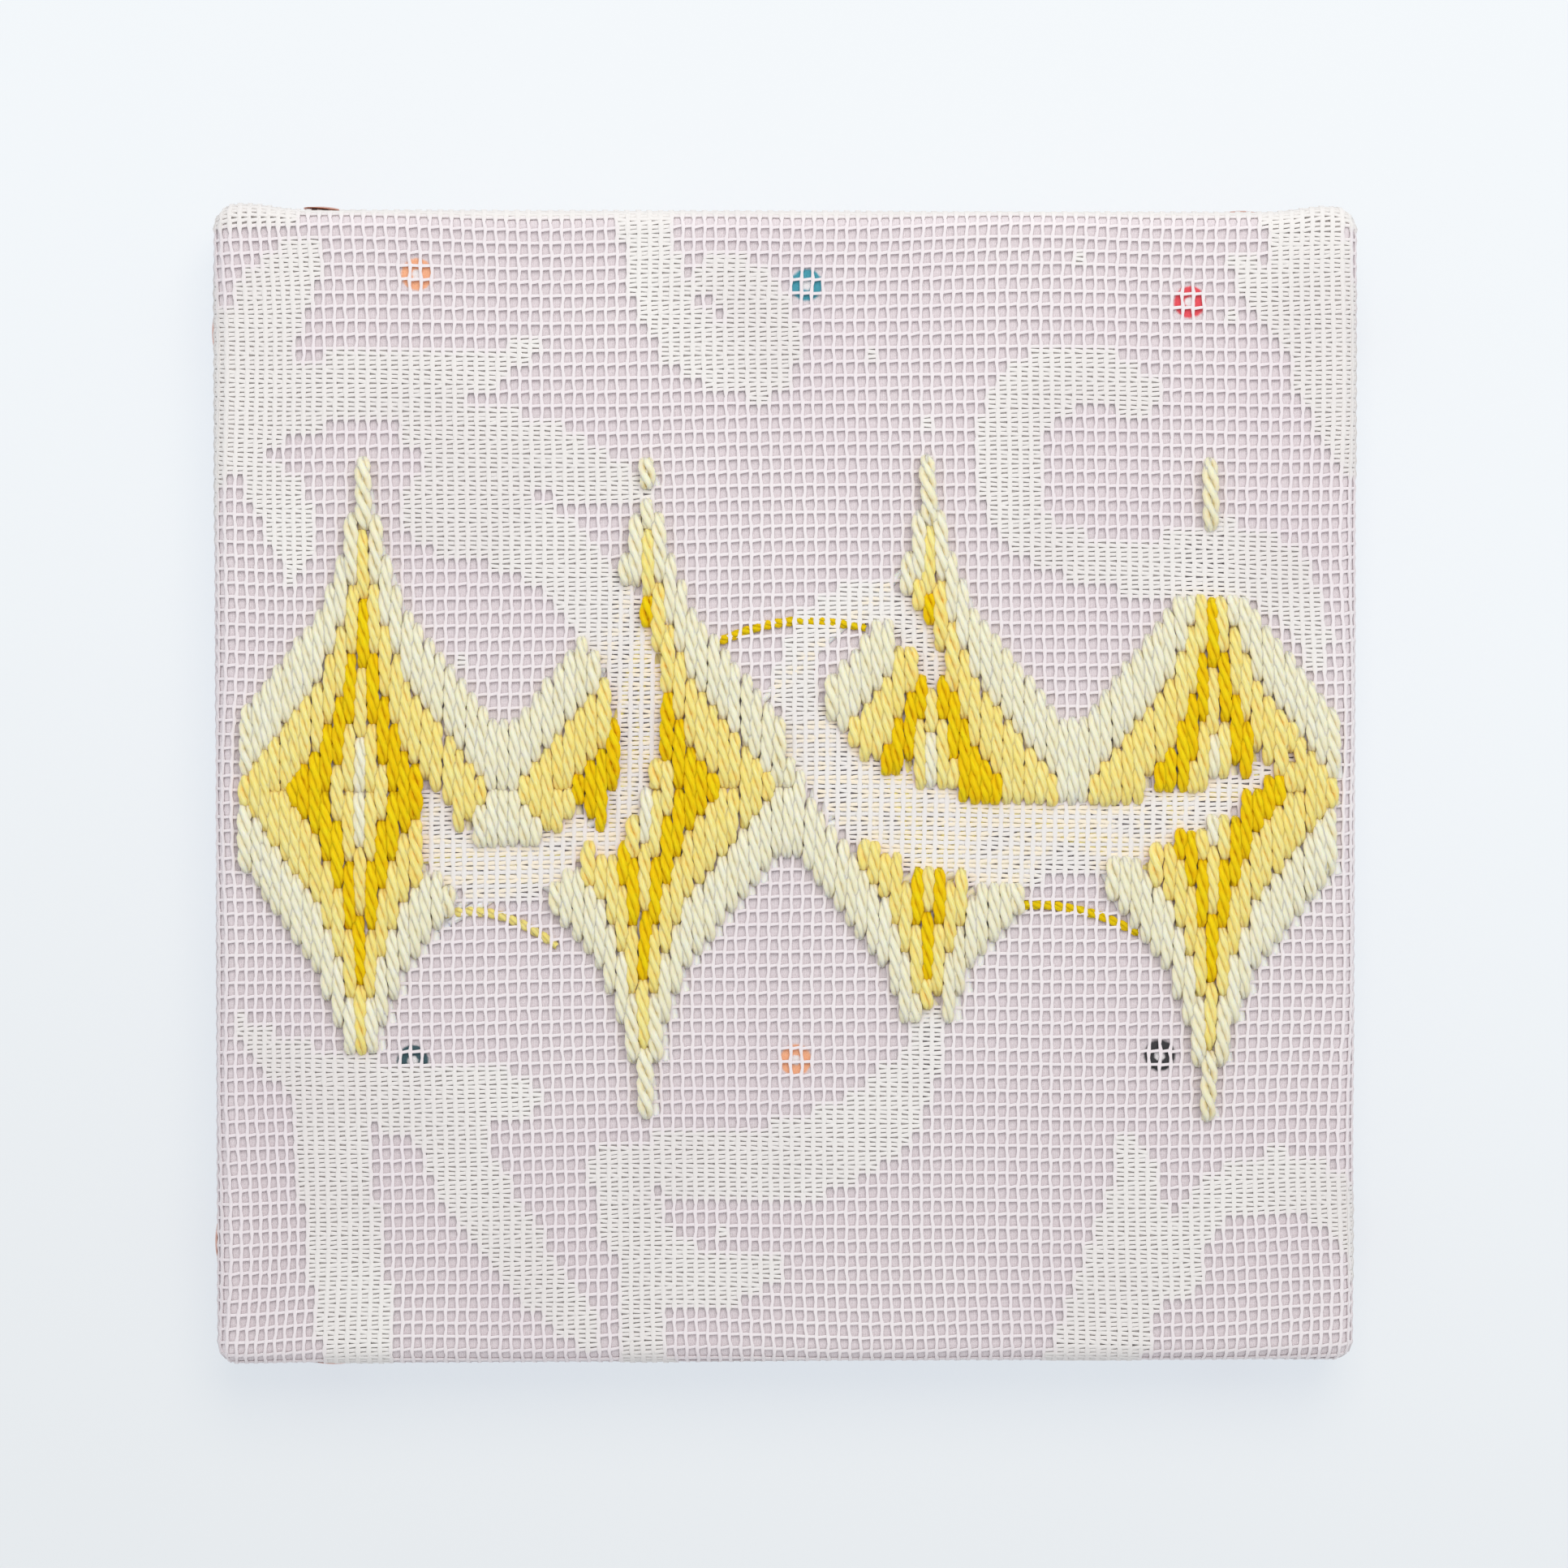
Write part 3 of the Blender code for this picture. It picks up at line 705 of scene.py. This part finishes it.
def make_laid(material, filled):
    """The net's crosswise threads, which slant a little in each mesh."""
    columns = COLUMN_LINES[:-1]
    ends = np.stack([columns + LAID_FROM_WALE, columns + 1 - LAID_FROM_WALE], axis=1).ravel()
    out = np.full(len(ends), -LAID_DEPTH)
    tubes = Tubes(THREAD_SIDES)
    for row in ROW_LINES:
        close = [((c, row) in filled) + ((c, row - 1) in filled) for c in columns]
        close = np.repeat(close, 2) / 2
        slant = np.tile([-1, 1], len(columns)) * LAID_SLANTS[row % 2]
        slant = slant * (1 - STRAIGHTER_IN_LEAF * close)
        v = upward(row) + slant + random.normal(0, LAID_UNEVEN, len(ends))
        radii = LAID_RADIUS * random.uniform(*THREAD_RANGE, len(ends))
        radii = radii * (1 + LAID_IN_LEAF * close)
        add_thread(tubes, across(ends), v, out, radii, close)
    return tubes.build("net_laid_threads", material)


def filled_meshes():
    """The close-knitted meshes, each as its column and row."""
    columns, rows = np.meshgrid(COLUMN_LINES[:-1], ROW_LINES[:-1], indexing="ij")
    u, v = across(columns + 0.5), upward(rows + 0.5)
    filled = leaf_mask(u, v)
    in_band = v + CORNER_BAND * (np.abs(u) > CORNER_FROM) - TOP_BAND
    filled |= (in_band > 0) & (in_band < 2 * MESH_HIGH + CORNER_BAND)
    for column, row in STRAY_FILLED:
        filled |= (columns == column) & (rows == row)
    return set(zip(columns[filled].tolist(), rows[filled].tolist()))


def nearness(u, v, strands):
    """1 right over a carried strand, 0 well away from all of them."""
    near = np.zeros(np.shape(u))
    for (c0, r0), (c1, r1) in strands:
        ax, ay, bx, by = across(c0), upward(r0), across(c1), upward(r1)
        long = (bx - ax) ** 2 + (by - ay) ** 2
        t = np.clip(((u - ax) * (bx - ax) + (v - ay) * (by - ay)) / max(long, 1e-12), 0, 1)
        far = np.hypot(u - ax - t * (bx - ax), v - ay - t * (by - ay))
        near = np.maximum(near, 1 - smooth_step((far - 0.4 * MM) / (1.3 * MM)))
    return near


def add_backing(tubes, filled):
    """A thin flat strip behind each column of filled meshes that no stitch lies over: lapping
    thread at the net's back, in a painted shade that greys the wedges.
    """
    for column, row in sorted(filled):
        top = row
        while (column, top) in filled:
            top += 1
        if (column, row - 1) in filled or covered_by(column, (row + top) // 2) is not None:
            continue
        stops = np.arange(row, top + 1)
        u = across(np.full(len(stops), column + 0.5))
        half_wide = np.full(len(stops), BACKING_HALF_WIDE)
        close = np.full(len(stops), AT_NET_BACK)
        add_thread(tubes, u, upward(stops), -BACKING_DEPTH, half_wide, close, BACKING_FLATNESS)


def make_filling(material, filled, strands):
    """Two more threads in each mesh of the leaves, which leave three thin wedges open."""
    tubes = Tubes(THREAD_SIDES)
    columns, rows = np.array(sorted(filled)).T
    u = across(np.stack([columns + FILL_FROM_WALE, columns + 1 - FILL_FROM_WALE], axis=1))
    turned = (rows % 2 == 0)[:, None]
    for low, high in FILL_THREADS:
        first = np.where(turned, low, 1 - high)
        last = np.where(turned, high, 1 - low)
        v = upward(rows[:, None] + np.concatenate([first, last], axis=1))
        v = v + random.normal(0, FILL_UNEVEN, v.shape)
        out = random.normal(-FILL_DEPTH, FILL_DEPTH_UNEVEN, v.shape)
        places, normals, over = wrap(u, v, out)
        keep = (over <= SIDE_DROP).all(axis=1)
        radii = FILL_RADIUS * random.uniform(*THREAD_RANGE, v.shape)
        # The tint's red: how much painted yarn light each filling thread gets.
        tint = np.stack([nearness(u, v, strands), np.ones(v.shape)], axis=-1)
        tubes.add(places[keep], normals[keep], radii[keep], THREAD_FLATNESS, tint[keep],
                  THREAD_SOFT)
    add_backing(tubes, filled)
    return tubes.build("net_filling_threads", material)


# Stitches

Stitch = namedtuple("Stitch", "column low high shade")


def leaf_meshes():
    """Which meshes of the front, by column and row, lie in a leaf."""
    columns, rows = np.meshgrid(np.arange(MESH_COLUMNS), np.arange(MESH_ROWS), indexing="ij")
    return leaf_mask(across(columns + 0.5), upward(rows + 0.5))


def covered_by(column, row):
    """Which row of stitches a mesh belongs to, counted in from the outline, or None."""
    from_middle = (column - MEDALLION_REPEAT // 2) % MEDALLION_REPEAT
    from_middle = min(from_middle, MEDALLION_REPEAT - from_middle)
    from_line = row - MESH_ROWS // 2 if row >= MESH_ROWS // 2 else MESH_ROWS // 2 - 1 - row
    inwards = MEDALLION[from_middle] - 1 - from_line
    if inwards < 0:
        return None
    return min(inwards // STITCH_LENGTH, len(STITCH_COLOURS) - 1)


def count_stitches(leaves):
    """Every upright stitch: its column, the meshes that it covers and its shade.

    A stitch stops at a close-knitted leaf, and at the middle line unless it is short there.
    """
    middle = MESH_ROWS // 2
    stitches = []
    for column in range(EDGE_COLUMNS, MESH_COLUMNS - EDGE_COLUMNS):
        line = [None if leaves[column, row] else covered_by(column, row)
                for row in range(MESH_ROWS)]
        start = 0
        runs = []
        for row in range(1, MESH_ROWS + 1):
            if row == MESH_ROWS or line[row] != line[start] or row == middle:
                if line[start] is not None:
                    runs.append([start, row, line[start]])
                start = row
        joined = []
        for low, high, inwards in runs:
            before = joined[-1] if joined else None
            meet = before and before[1] == low == middle and before[2] == inwards
            if meet and high - before[0] <= LONGEST_OVER_MIDDLE:
                before[1] = high
            else:
                joined.append([low, high, inwards])
        stitches += [Stitch(column, low, high, STITCH_COLOURS[inwards])
                     for low, high, inwards in joined if high - low >= SHORTEST_STITCH]
    return stitches


def alone(stitch, by_column):
    """Which sides of a stitch have no neighbour for most of its length."""
    free = []
    for side in (-1, 1):
        shared = 0
        for other in by_column.get(stitch.column + side, ()):
            shared = max(shared, min(stitch.high, other.high) - max(stitch.low, other.low))
        free.append(shared < 0.5 * (stitch.high - stitch.low))
    return free


def stitch_tubes(stitches, shade, by_column):
    """Twisted yarn over the net, one bundle of plies for each stitch of a shade."""
    tubes = Tubes(PLY_SIDES)
    share = 0.5 - 0.5 * np.cos(np.pi * np.linspace(0, 1, STITCH_STEPS + 1))
    ease = 2 * share - 1
    full = 1 - np.abs(ease) ** FULL_POWER
    spread = SPREAD_SHARES[0] + SPREAD_SHARES[1] * full
    ply_turns = 2 * np.pi * np.arange(PLIES)[:, None] / PLIES
    for stitch in stitches:
        if stitch.shade != shade:
            continue
        free_left, free_right = alone(stitch, by_column)
        widen = 1 + WIDER_ALONE * (free_left + free_right)
        aside = ASIDE_ALONE * (free_right - free_left)
        length = (stitch.high - stitch.low) * MESH_HIGH
        low = upward(stitch.low) - STITCH_REACH + random.normal(0, END_UNEVEN)
        high = upward(stitch.high) + STITCH_REACH + random.normal(0, END_UNEVEN)
        sway, slant = random.normal(0, STITCH_SWAY), random.normal(0, STITCH_SLANT)
        u = across(stitch.column + 0.5) + aside * full + sway + slant * ease
        v = low + (high - low) * share
        arch = STITCH_ARCH * min(1, length / FULL_ARCH_LENGTH) * random.uniform(*ARCH_RANGE)
        centre, normals, _ = wrap(u, v, np.zeros(len(share)))
        height = NET_FRONT + STITCH_HEIGHT + arch * (1 - ease ** 2)
        height = height - END_DIVE * np.abs(ease) ** DIVE_POWER
        twist = v / TWIST_PITCH * random.uniform(*TWIST_RANGE)
        turn = 2 * np.pi * (twist + TURN_PER_COLUMN * stitch.column)
        angle = turn + random.normal(0, TURN_UNEVEN) + ply_turns
        x = centre[:, 0] + PLY_SPREAD[0] * widen * spread * np.cos(angle)
        z = height + PLY_SPREAD[1] * spread * np.sin(angle)
        lines = np.stack([x, np.broadcast_to(centre[:, 1], x.shape), z], axis=-1)
        radii = PLY_RADIUS * (RADIUS_SHARES[0] + RADIUS_SHARES[1] * full)
        radii = radii * (1 + THICKER_WHERE_WIDER * (widen - 1))
        radii = radii * random.uniform(*PLY_RANGE, (PLIES, 1))
        radii = radii * random.normal(1, PLY_UNEVEN, (PLIES, len(share)))
        middle = np.stack([centre[:, 0], centre[:, 1], height], axis=-1)
        tubes.add(lines, np.broadcast_to(normals, lines.shape), radii, soft=PLY_SOFT,
                  middle=np.broadcast_to(middle, lines.shape))
    for start, end, its_shade in FLOATS:
        if its_shade == shade:
            add_float(tubes, start, end)
    return tubes


def add_float(tubes, start, end):
    """A long strand under open net, which presses it down at each wale that it passes."""
    t = np.linspace(0, 1, FLOAT_STEPS + 1)
    column = start[0] + (end[0] - start[0]) * t
    row = start[1] + (end[1] - start[1]) * t + FLOAT_SAG * np.sin(np.pi * t)
    x, y = lie(across(column), upward(row))
    pressed = 0.5 + 0.5 * np.cos(2 * np.pi * column)
    level = GROUND_FRONT + FLOAT_HEIGHT - FLOAT_PRESSED * pressed
    turn = 2 * np.pi * (FLOAT_TURNS * t + np.arange(PLIES)[:, None] / PLIES)
    side = FLOAT_SPREAD[0] * np.cos(turn) * (1 - 0.3 * pressed)
    rise = FLOAT_SPREAD[1] * np.sin(turn)
    lines = np.stack(np.broadcast_arrays(x, y + side, level + rise), axis=-1)
    middle = np.broadcast_to(np.stack([x, y, level], axis=-1), lines.shape)
    radii = np.broadcast_to(FLOAT_PLY * (1 - 0.25 * pressed), lines.shape[:2])
    tubes.add(lines, straight_up(lines), radii, flat=FLOAT_FLATNESS, soft=PLY_SOFT, middle=middle)


def straight_up(lines):
    return np.broadcast_to(np.array([0.0, 0.0, 1.0]), lines.shape)


def make_yarn(stitches, materials):
    """One piece of front stitches for each shade."""
    by_column = {}
    for stitch in stitches:
        by_column.setdefault(stitch.column, []).append(stitch)
    pieces = {}
    for shade, material in materials.items():
        tubes = stitch_tubes(stitches, shade, by_column)
        pieces[shade] = tubes.build(f"{shade}_yarn_stitches", material)
    return pieces


def carried_routes(stitches, shade, leaves):
    """Routes of strands carried behind the leaves between stitches of a shade."""
    own = [s for s in stitches if s.shade == shade]
    routes = []
    for _ in range(CARRIED_TRIES):
        start, end = own[random.integers(len(own))], own[random.integers(len(own))]
        from_row = random.integers(start.low, start.high)
        to_row = random.integers(end.low, end.high)
        wide = (end.column - start.column) * MESH_WIDE
        high = (to_row - from_row) * MESH_HIGH
        if not CARRIED_LENGTH[0] < math.hypot(wide, high) < CARRIED_LENGTH[1]:
            continue
        t = np.linspace(0, 1, CARRIED_STEPS)
        columns = (start.column + (end.column - start.column) * t).astype(int)
        rows = (from_row + (to_row - from_row) * t).astype(int)
        if leaves[columns, rows].mean() > CARRIED_PAST_LEAVES:
            routes.append(((start.column + 0.5, from_row), (end.column + 0.5, to_row)))
        if len(routes) >= CARRIED_PER_SHADE:
            break
    return routes


def make_behind(stitches, materials, carried):
    """Yarn behind the net: the stitches' backs, and the strands carried past the leaves."""
    pieces = {}
    t = np.linspace(0, 1, BEHIND_STEPS + 1)
    end_rise = BEHIND_END_RISE * np.abs(2 * t - 1) ** 3
    for shade, material in materials.items():
        runs = [((s.column + 0.5, s.high), (s.column + BACK_GOES_ON, s.low))
                for s in stitches if s.shade == shade]
        tubes = Tubes(PLY_SIDES)
        for (c0, r0), (c1, r1) in runs + carried[shade]:
            bow = random.normal(0, BEHIND_BOW) * np.sin(np.pi * t)
            u = across(c0 + (c1 - c0) * t) + bow
            v = upward(r0 + (r1 - r0) * t) + bow * 0.7
            x, y = lie(u, v)
            z = GROUND_FRONT + BEHIND_HEIGHT + BEHIND_UNEVEN * random.uniform(-1, 1) + end_rise
            line = np.stack([x, y, z], axis=-1)[None]
            half_wide = random.uniform(*BEHIND_HALF_WIDE) * MM
            tubes.add(line, straight_up(line), np.full((1, len(t)), half_wide),
                      flat=BEHIND_FLATNESS)
        pieces[shade] = tubes.build(f"{shade}_yarn_behind_net", material)
    return pieces


# Ground cloth: its thickness, how far it stands outside the solid one at the front and the
# sides, the radius of its back edges, and its turn-in
GROUND_THICK = 0.6 * MM
GROUND_FRONT_RISE = 0.1 * MM
GROUND_SIDE_RISE = 0.45 * MM
GROUND_BACK_ROUND = 1.4 * MM
TURN_IN = 20 * MM
CORNER_STEPS = 8


def quarter_turn(start):
    """Angles of a quarter of a circle, from start on."""
    return [start + math.pi / 2 * step / CORNER_STEPS for step in range(CORNER_STEPS + 1)]


def shell_section(depth):
    """Section of the skin that lies depth inside the ground cloth's outside: inset and level."""
    points = [(TURN_IN, depth), (TURN_IN * 0.5, depth)]
    front_middle = GROUND_FRONT + GROUND_FRONT_RISE - GROUND_ROUND
    for edge, middle, start in ((GROUND_BACK_ROUND, GROUND_BACK_ROUND, -math.pi / 2),
                                (GROUND_ROUND, front_middle, 0)):
        for angle in quarter_turn(start):
            points.append((edge - (edge - depth) * math.cos(angle),
                           middle + (edge - depth) * math.sin(angle)))
    return points


def ring_points(inset):
    """The ground cloth's outline, a rectangle with round corners, inset from its outside."""
    radius = max(GROUND_ROUND - inset, 0.3 * MM)
    wide = GROUND_HIGH.x + GROUND_SIDE_RISE - inset - radius
    high = GROUND_HIGH.y + GROUND_SIDE_RISE - inset - radius
    points = []
    for quarter, (x, y) in enumerate(((wide, high), (-wide, high), (-wide, -high), (wide, -high))):
        for angle in quarter_turn(math.pi / 2 * quarter):
            points.append((x + radius * math.cos(angle), y + radius * math.sin(angle)))
    return points


def between_rings(first, second):
    """Faces between two rings of points, which face outwards when the second is further up."""
    return np.stack([first, np.roll(first, -1), np.roll(second, -1), second], axis=1)


def make_ground(material):
    """The ground cloth: one thin sheet over the front and sides, turned in on the back."""
    verts, skins = [], []
    for depth in (0, GROUND_THICK):
        rings = []
        for inset, level in shell_section(depth):
            points = ring_points(inset)
            rings.append(np.arange(len(points)) + len(verts))
            verts += [(x, y, level) for x, y in points]
        skins.append(rings)
    outer, inner = skins
    quads = [between_rings(lower, upper) for lower, upper in zip(outer, outer[1:])]
    quads += [between_rings(lower, upper)[:, ::-1] for lower, upper in zip(inner, inner[1:])]
    quads.append(between_rings(inner[0], outer[0]))
    faces = [np.concatenate(quads), outer[-1][None], inner[-1][::-1][None]]
    return make_object("ground_cloth_printed", np.array(verts), faces, material)


# Pins: half section of one as radius and height over its seat, up to the domed head
PIN_HEAD = 4.75 * MM
PIN_DOME = 0.85 * MM
PIN_STEM = [(0, -8 * MM), (0.55 * MM, -7 * MM), (0.55 * MM, 0), (4.3 * MM, 0.02 * MM),
            (4.7 * MM, 0.08 * MM), (4.75 * MM, 0.12 * MM), (4.68 * MM, 0.18 * MM)]
PIN_DOME_SHARES = (0.93, 0.84, 0.73, 0.6, 0.46, 0.31, 0.15)
PIN_SEGMENTS = 48
PIN_SHARP_ANGLE = math.radians(50)
PIN_SEAT_DEPTH = 1.5 * MM
PIN_SUNK = {"top_left": 0.7 * MM, "top_right": 0.9 * MM, "bottom_left": 0.2 * MM}
PIN_SUNK_OTHERS = 0.6 * MM
PIN_TILT = math.radians(7)
PIN_LEAN = 2.5
OUTWARD = {"top": (0, 1, 0), "bottom": (0, -1, 0), "left": (-1, 0, 0), "right": (1, 0, 0)}


def pin_shape():
    """Points and faces of a pin that stands on its point along Z."""
    ball = (PIN_HEAD ** 2 + PIN_DOME ** 2) / (2 * PIN_DOME)
    profile = PIN_STEM[1:]
    for share in PIN_DOME_SHARES:
        radius = PIN_HEAD * share
        profile.append((radius, PIN_DOME - ball + math.sqrt(ball ** 2 - radius ** 2)))
    turn = [2 * math.pi * i / PIN_SEGMENTS for i in range(PIN_SEGMENTS)]
    verts = [(0, 0, PIN_STEM[0][1])]
    verts += [(radius * math.cos(a), radius * math.sin(a), height)
              for radius, height in profile for a in turn]
    verts.append((0, 0, PIN_DOME))
    rings = [1 + np.arange(PIN_SEGMENTS) + PIN_SEGMENTS * k for k in range(len(profile))]
    walls = [between_rings(a, b) for a, b in zip(rings, rings[1:])]
    point = np.zeros(PIN_SEGMENTS, int)
    crown = np.full(PIN_SEGMENTS, len(verts) - 1)
    bottom = np.stack([point, np.roll(rings[0], -1), rings[0]], axis=1)
    top = np.stack([crown, rings[-1], np.roll(rings[-1], -1)], axis=1)
    return verts, [np.concatenate(walls), bottom, top]


def make_pins(material):
    """Domed pins, their heads pressed a little into the soft net."""
    verts, faces = pin_shape()
    for name in sorted(nodes_named("drawing_pin")):
        low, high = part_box(name)
        place_name = name.removeprefix("drawing_pin_")
        axis = Vector(OUTWARD[place_name.split("_")[0]])
        middle = (low + high) / 2
        half_long = max(abs(axis.dot(high - middle)), abs(axis.dot(low - middle)))
        sunk = PIN_SUNK.get(place_name, PIN_SUNK_OTHERS)
        seat = middle + axis * (half_long - PIN_SEAT_DEPTH - sunk)
        turn = axis.to_track_quat("Z", "Y").to_matrix().to_4x4()
        lean = Matrix.Rotation(math.radians(random.uniform(-PIN_LEAN, PIN_LEAN)), 4, "X")
        tilt = Matrix.Rotation(-PIN_TILT if place_name == "top_left" else 0, 4, "Z")
        place = Matrix.Translation(seat) @ tilt @ turn @ lean
        pin = make_object(name.replace("drawing_pin", "copper_pin"),
                          np.array([place @ Vector(p) for p in verts]), faces, material)
        pin.data.set_sharp_from_angle(angle=PIN_SHARP_ANGLE)
        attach(pin, "root")
        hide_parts(name)


# Surroundings: the floor's own colour, warm so that the shadow on it is cool, and the pale
# glow it is lit to, from one share of it near the panel's foot to another near its top
FLOOR_COLOUR = (0.27, 0.236, 0.175)
FLOOR_LEVEL = -0.2 * MM
FLOOR_REACH = 4.0
FLOOR_OPEN_INSET = 6 * MM
BACKDROP_GLOW = (0.90, 1.0, 1.137)
GLOW_STRENGTH = 0.64
GLOW_SHARES = (0.925, 1.045)
GLOW_FROM, GLOW_TO = -0.2, 0.09
GLOW_SLANT = 0.25


def make_floor():
    """A pale floor around the panel, left open under it so that its back can be seen."""
    nodes = Nodes("floor")
    split = nodes.node("ShaderNodeSeparateXYZ", {"Vector": nodes.place()})
    # Painted light: the floor's glow is weaker towards the panel's foot and left than towards its
    # top and right.
    slanted = nodes.math("MULTIPLY_ADD", split.outputs[0], GLOW_SLANT, split.outputs[1])
    lit = nodes.ramp(slanted, GLOW_FROM, GLOW_TO)
    glows = [tuple(share * c for c in BACKDROP_GLOW) for share in GLOW_SHARES]
    nodes.link(nodes.mix(lit, *glows), "Emission Color")
    nodes.set(Base_Color=(*FLOOR_COLOUR, 1), Roughness=0.9, Emission_Strength=GLOW_STRENGTH)
    corners = ((-1, -1), (1, -1), (1, 1), (-1, 1))
    sizes = (GROUND_HIGH.x - FLOOR_OPEN_INSET, FLOOR_REACH)
    verts = np.array([(x * size, y * size, FLOOR_LEVEL) for size in sizes for x, y in corners])
    faces = np.array([[i, i + 4, (i + 1) % 4 + 4, (i + 1) % 4] for i in range(4)])
    make_object("floor", verts, [faces], nodes.material)


WORLD_COLOUR = (0.955, 0.98, 1.0, 1)
WORLD_STRENGTH = 0.68
SOFTBOX_PLACE = (0.1, 0.5, 0.85)
SOFTBOX_SIZE = 0.62
SOFTBOX_POWER = 4.65
SOFTBOX_COLOUR = (1, 0.99, 0.965)


def light_scene():
    """Even studio light from all round, and a softbox above the panel's upper right."""
    world = bpy.data.worlds.new("studio")
    bpy.context.scene.world = world
    world.use_nodes = True
    background = world.node_tree.nodes["Background"]
    background.inputs["Color"].default_value = WORLD_COLOUR
    background.inputs["Strength"].default_value = WORLD_STRENGTH
    light = bpy.data.lights.new("softbox", "AREA")
    light.shape = "SQUARE"
    light.size = SOFTBOX_SIZE
    light.energy = SOFTBOX_POWER
    light.color = SOFTBOX_COLOUR
    obj = bpy.data.objects.new("softbox", light)
    obj.location = SOFTBOX_PLACE
    obj.rotation_euler = (-Vector(SOFTBOX_PLACE)).to_track_quat("-Z", "Y").to_euler()
    bpy.context.scene.collection.objects.link(obj)
    bpy.context.scene.view_settings.view_transform = "Standard"


# The photograph's side and the panel's width and middle in it (pixels), and the camera
PHOTO_SIDE = 1932
PANEL_WIDE_IN_PHOTO = 1409
PANEL_MIDDLE_IN_PHOTO = (969.5, 971.5)
CAMERA_OFFSET = (-18 * MM, 22 * MM)
CAMERA_LENS = 100
CAMERA_SENSOR = 36


def place_camera():
    """Above the panel, a little to its upper left, with the panel where the photograph has it."""
    camera = bpy.data.cameras.new("camera")
    camera.lens = CAMERA_LENS
    camera.sensor_width = CAMERA_SENSOR
    obj = bpy.data.objects.new("camera", camera)
    seen_wide = 2 * NET_HALF_WIDE * PHOTO_SIDE / PANEL_WIDE_IN_PHOTO
    distance = seen_wide * camera.lens / camera.sensor_width
    pixel = seen_wide / PHOTO_SIDE
    aim = Vector(((PHOTO_SIDE / 2 - PANEL_MIDDLE_IN_PHOTO[0]) * pixel,
                  (PANEL_MIDDLE_IN_PHOTO[1] - PHOTO_SIDE / 2) * pixel, NET_FRONT - NET_ROUND))
    toward = Vector((*CAMERA_OFFSET, distance)).normalized()
    obj.location = aim + toward * distance
    right = Vector((0, 1, 0)).cross(toward).normalized()
    turn = Matrix((right, toward.cross(right), toward)).transposed()
    obj.rotation_euler = turn.to_euler()
    bpy.context.scene.collection.objects.link(obj)
    bpy.context.scene.camera = obj


place_camera()
light_scene()
make_floor()

thread = cotton_thread_material("net_cotton")
filled = filled_meshes()
wales = make_wales(thread, filled)
laid = make_laid(thread, filled)
leaves = leaf_meshes()
stitches = count_stitches(leaves)
carried = {shade: carried_routes(stitches, shade, leaves) for shade in YARN_SHADES}
strands = [strand for of_shade in carried.values() for strand in of_shade]
filling = make_filling(thread, filled, strands)
for piece in (wales, laid, filling):
    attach(piece, "root")
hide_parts("net")

ground = make_ground(ground_material())
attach(ground, "root")
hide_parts("ground_cloth")

yarns = {shade: yarn_material(f"{shade}_yarn", colours) for shade, colours in YARN_SHADES.items()}
yarns_behind_lit = {shade: yarn_material(f"{shade}_yarn_behind", colours)
                for shade, colours in BEHIND_SHADES_PAINTED_LIGHTER.items()}
front = make_yarn(stitches, yarns)
behind = make_behind(stitches, yarns_behind_lit, carried)
for shade in YARN_SHADES:
    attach(front[shade], "root")
    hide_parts(*nodes_named(f"{shade}_stitches"))
    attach(behind[shade], "root")

make_pins(copper_material())

for name in nodes_named("stretcher_bar"):
    along = 0 if name.endswith(("top", "bottom")) else 1
    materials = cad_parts[name].data.materials
    materials.clear()
    materials.append(pine_material(f"pine_{name}", along))
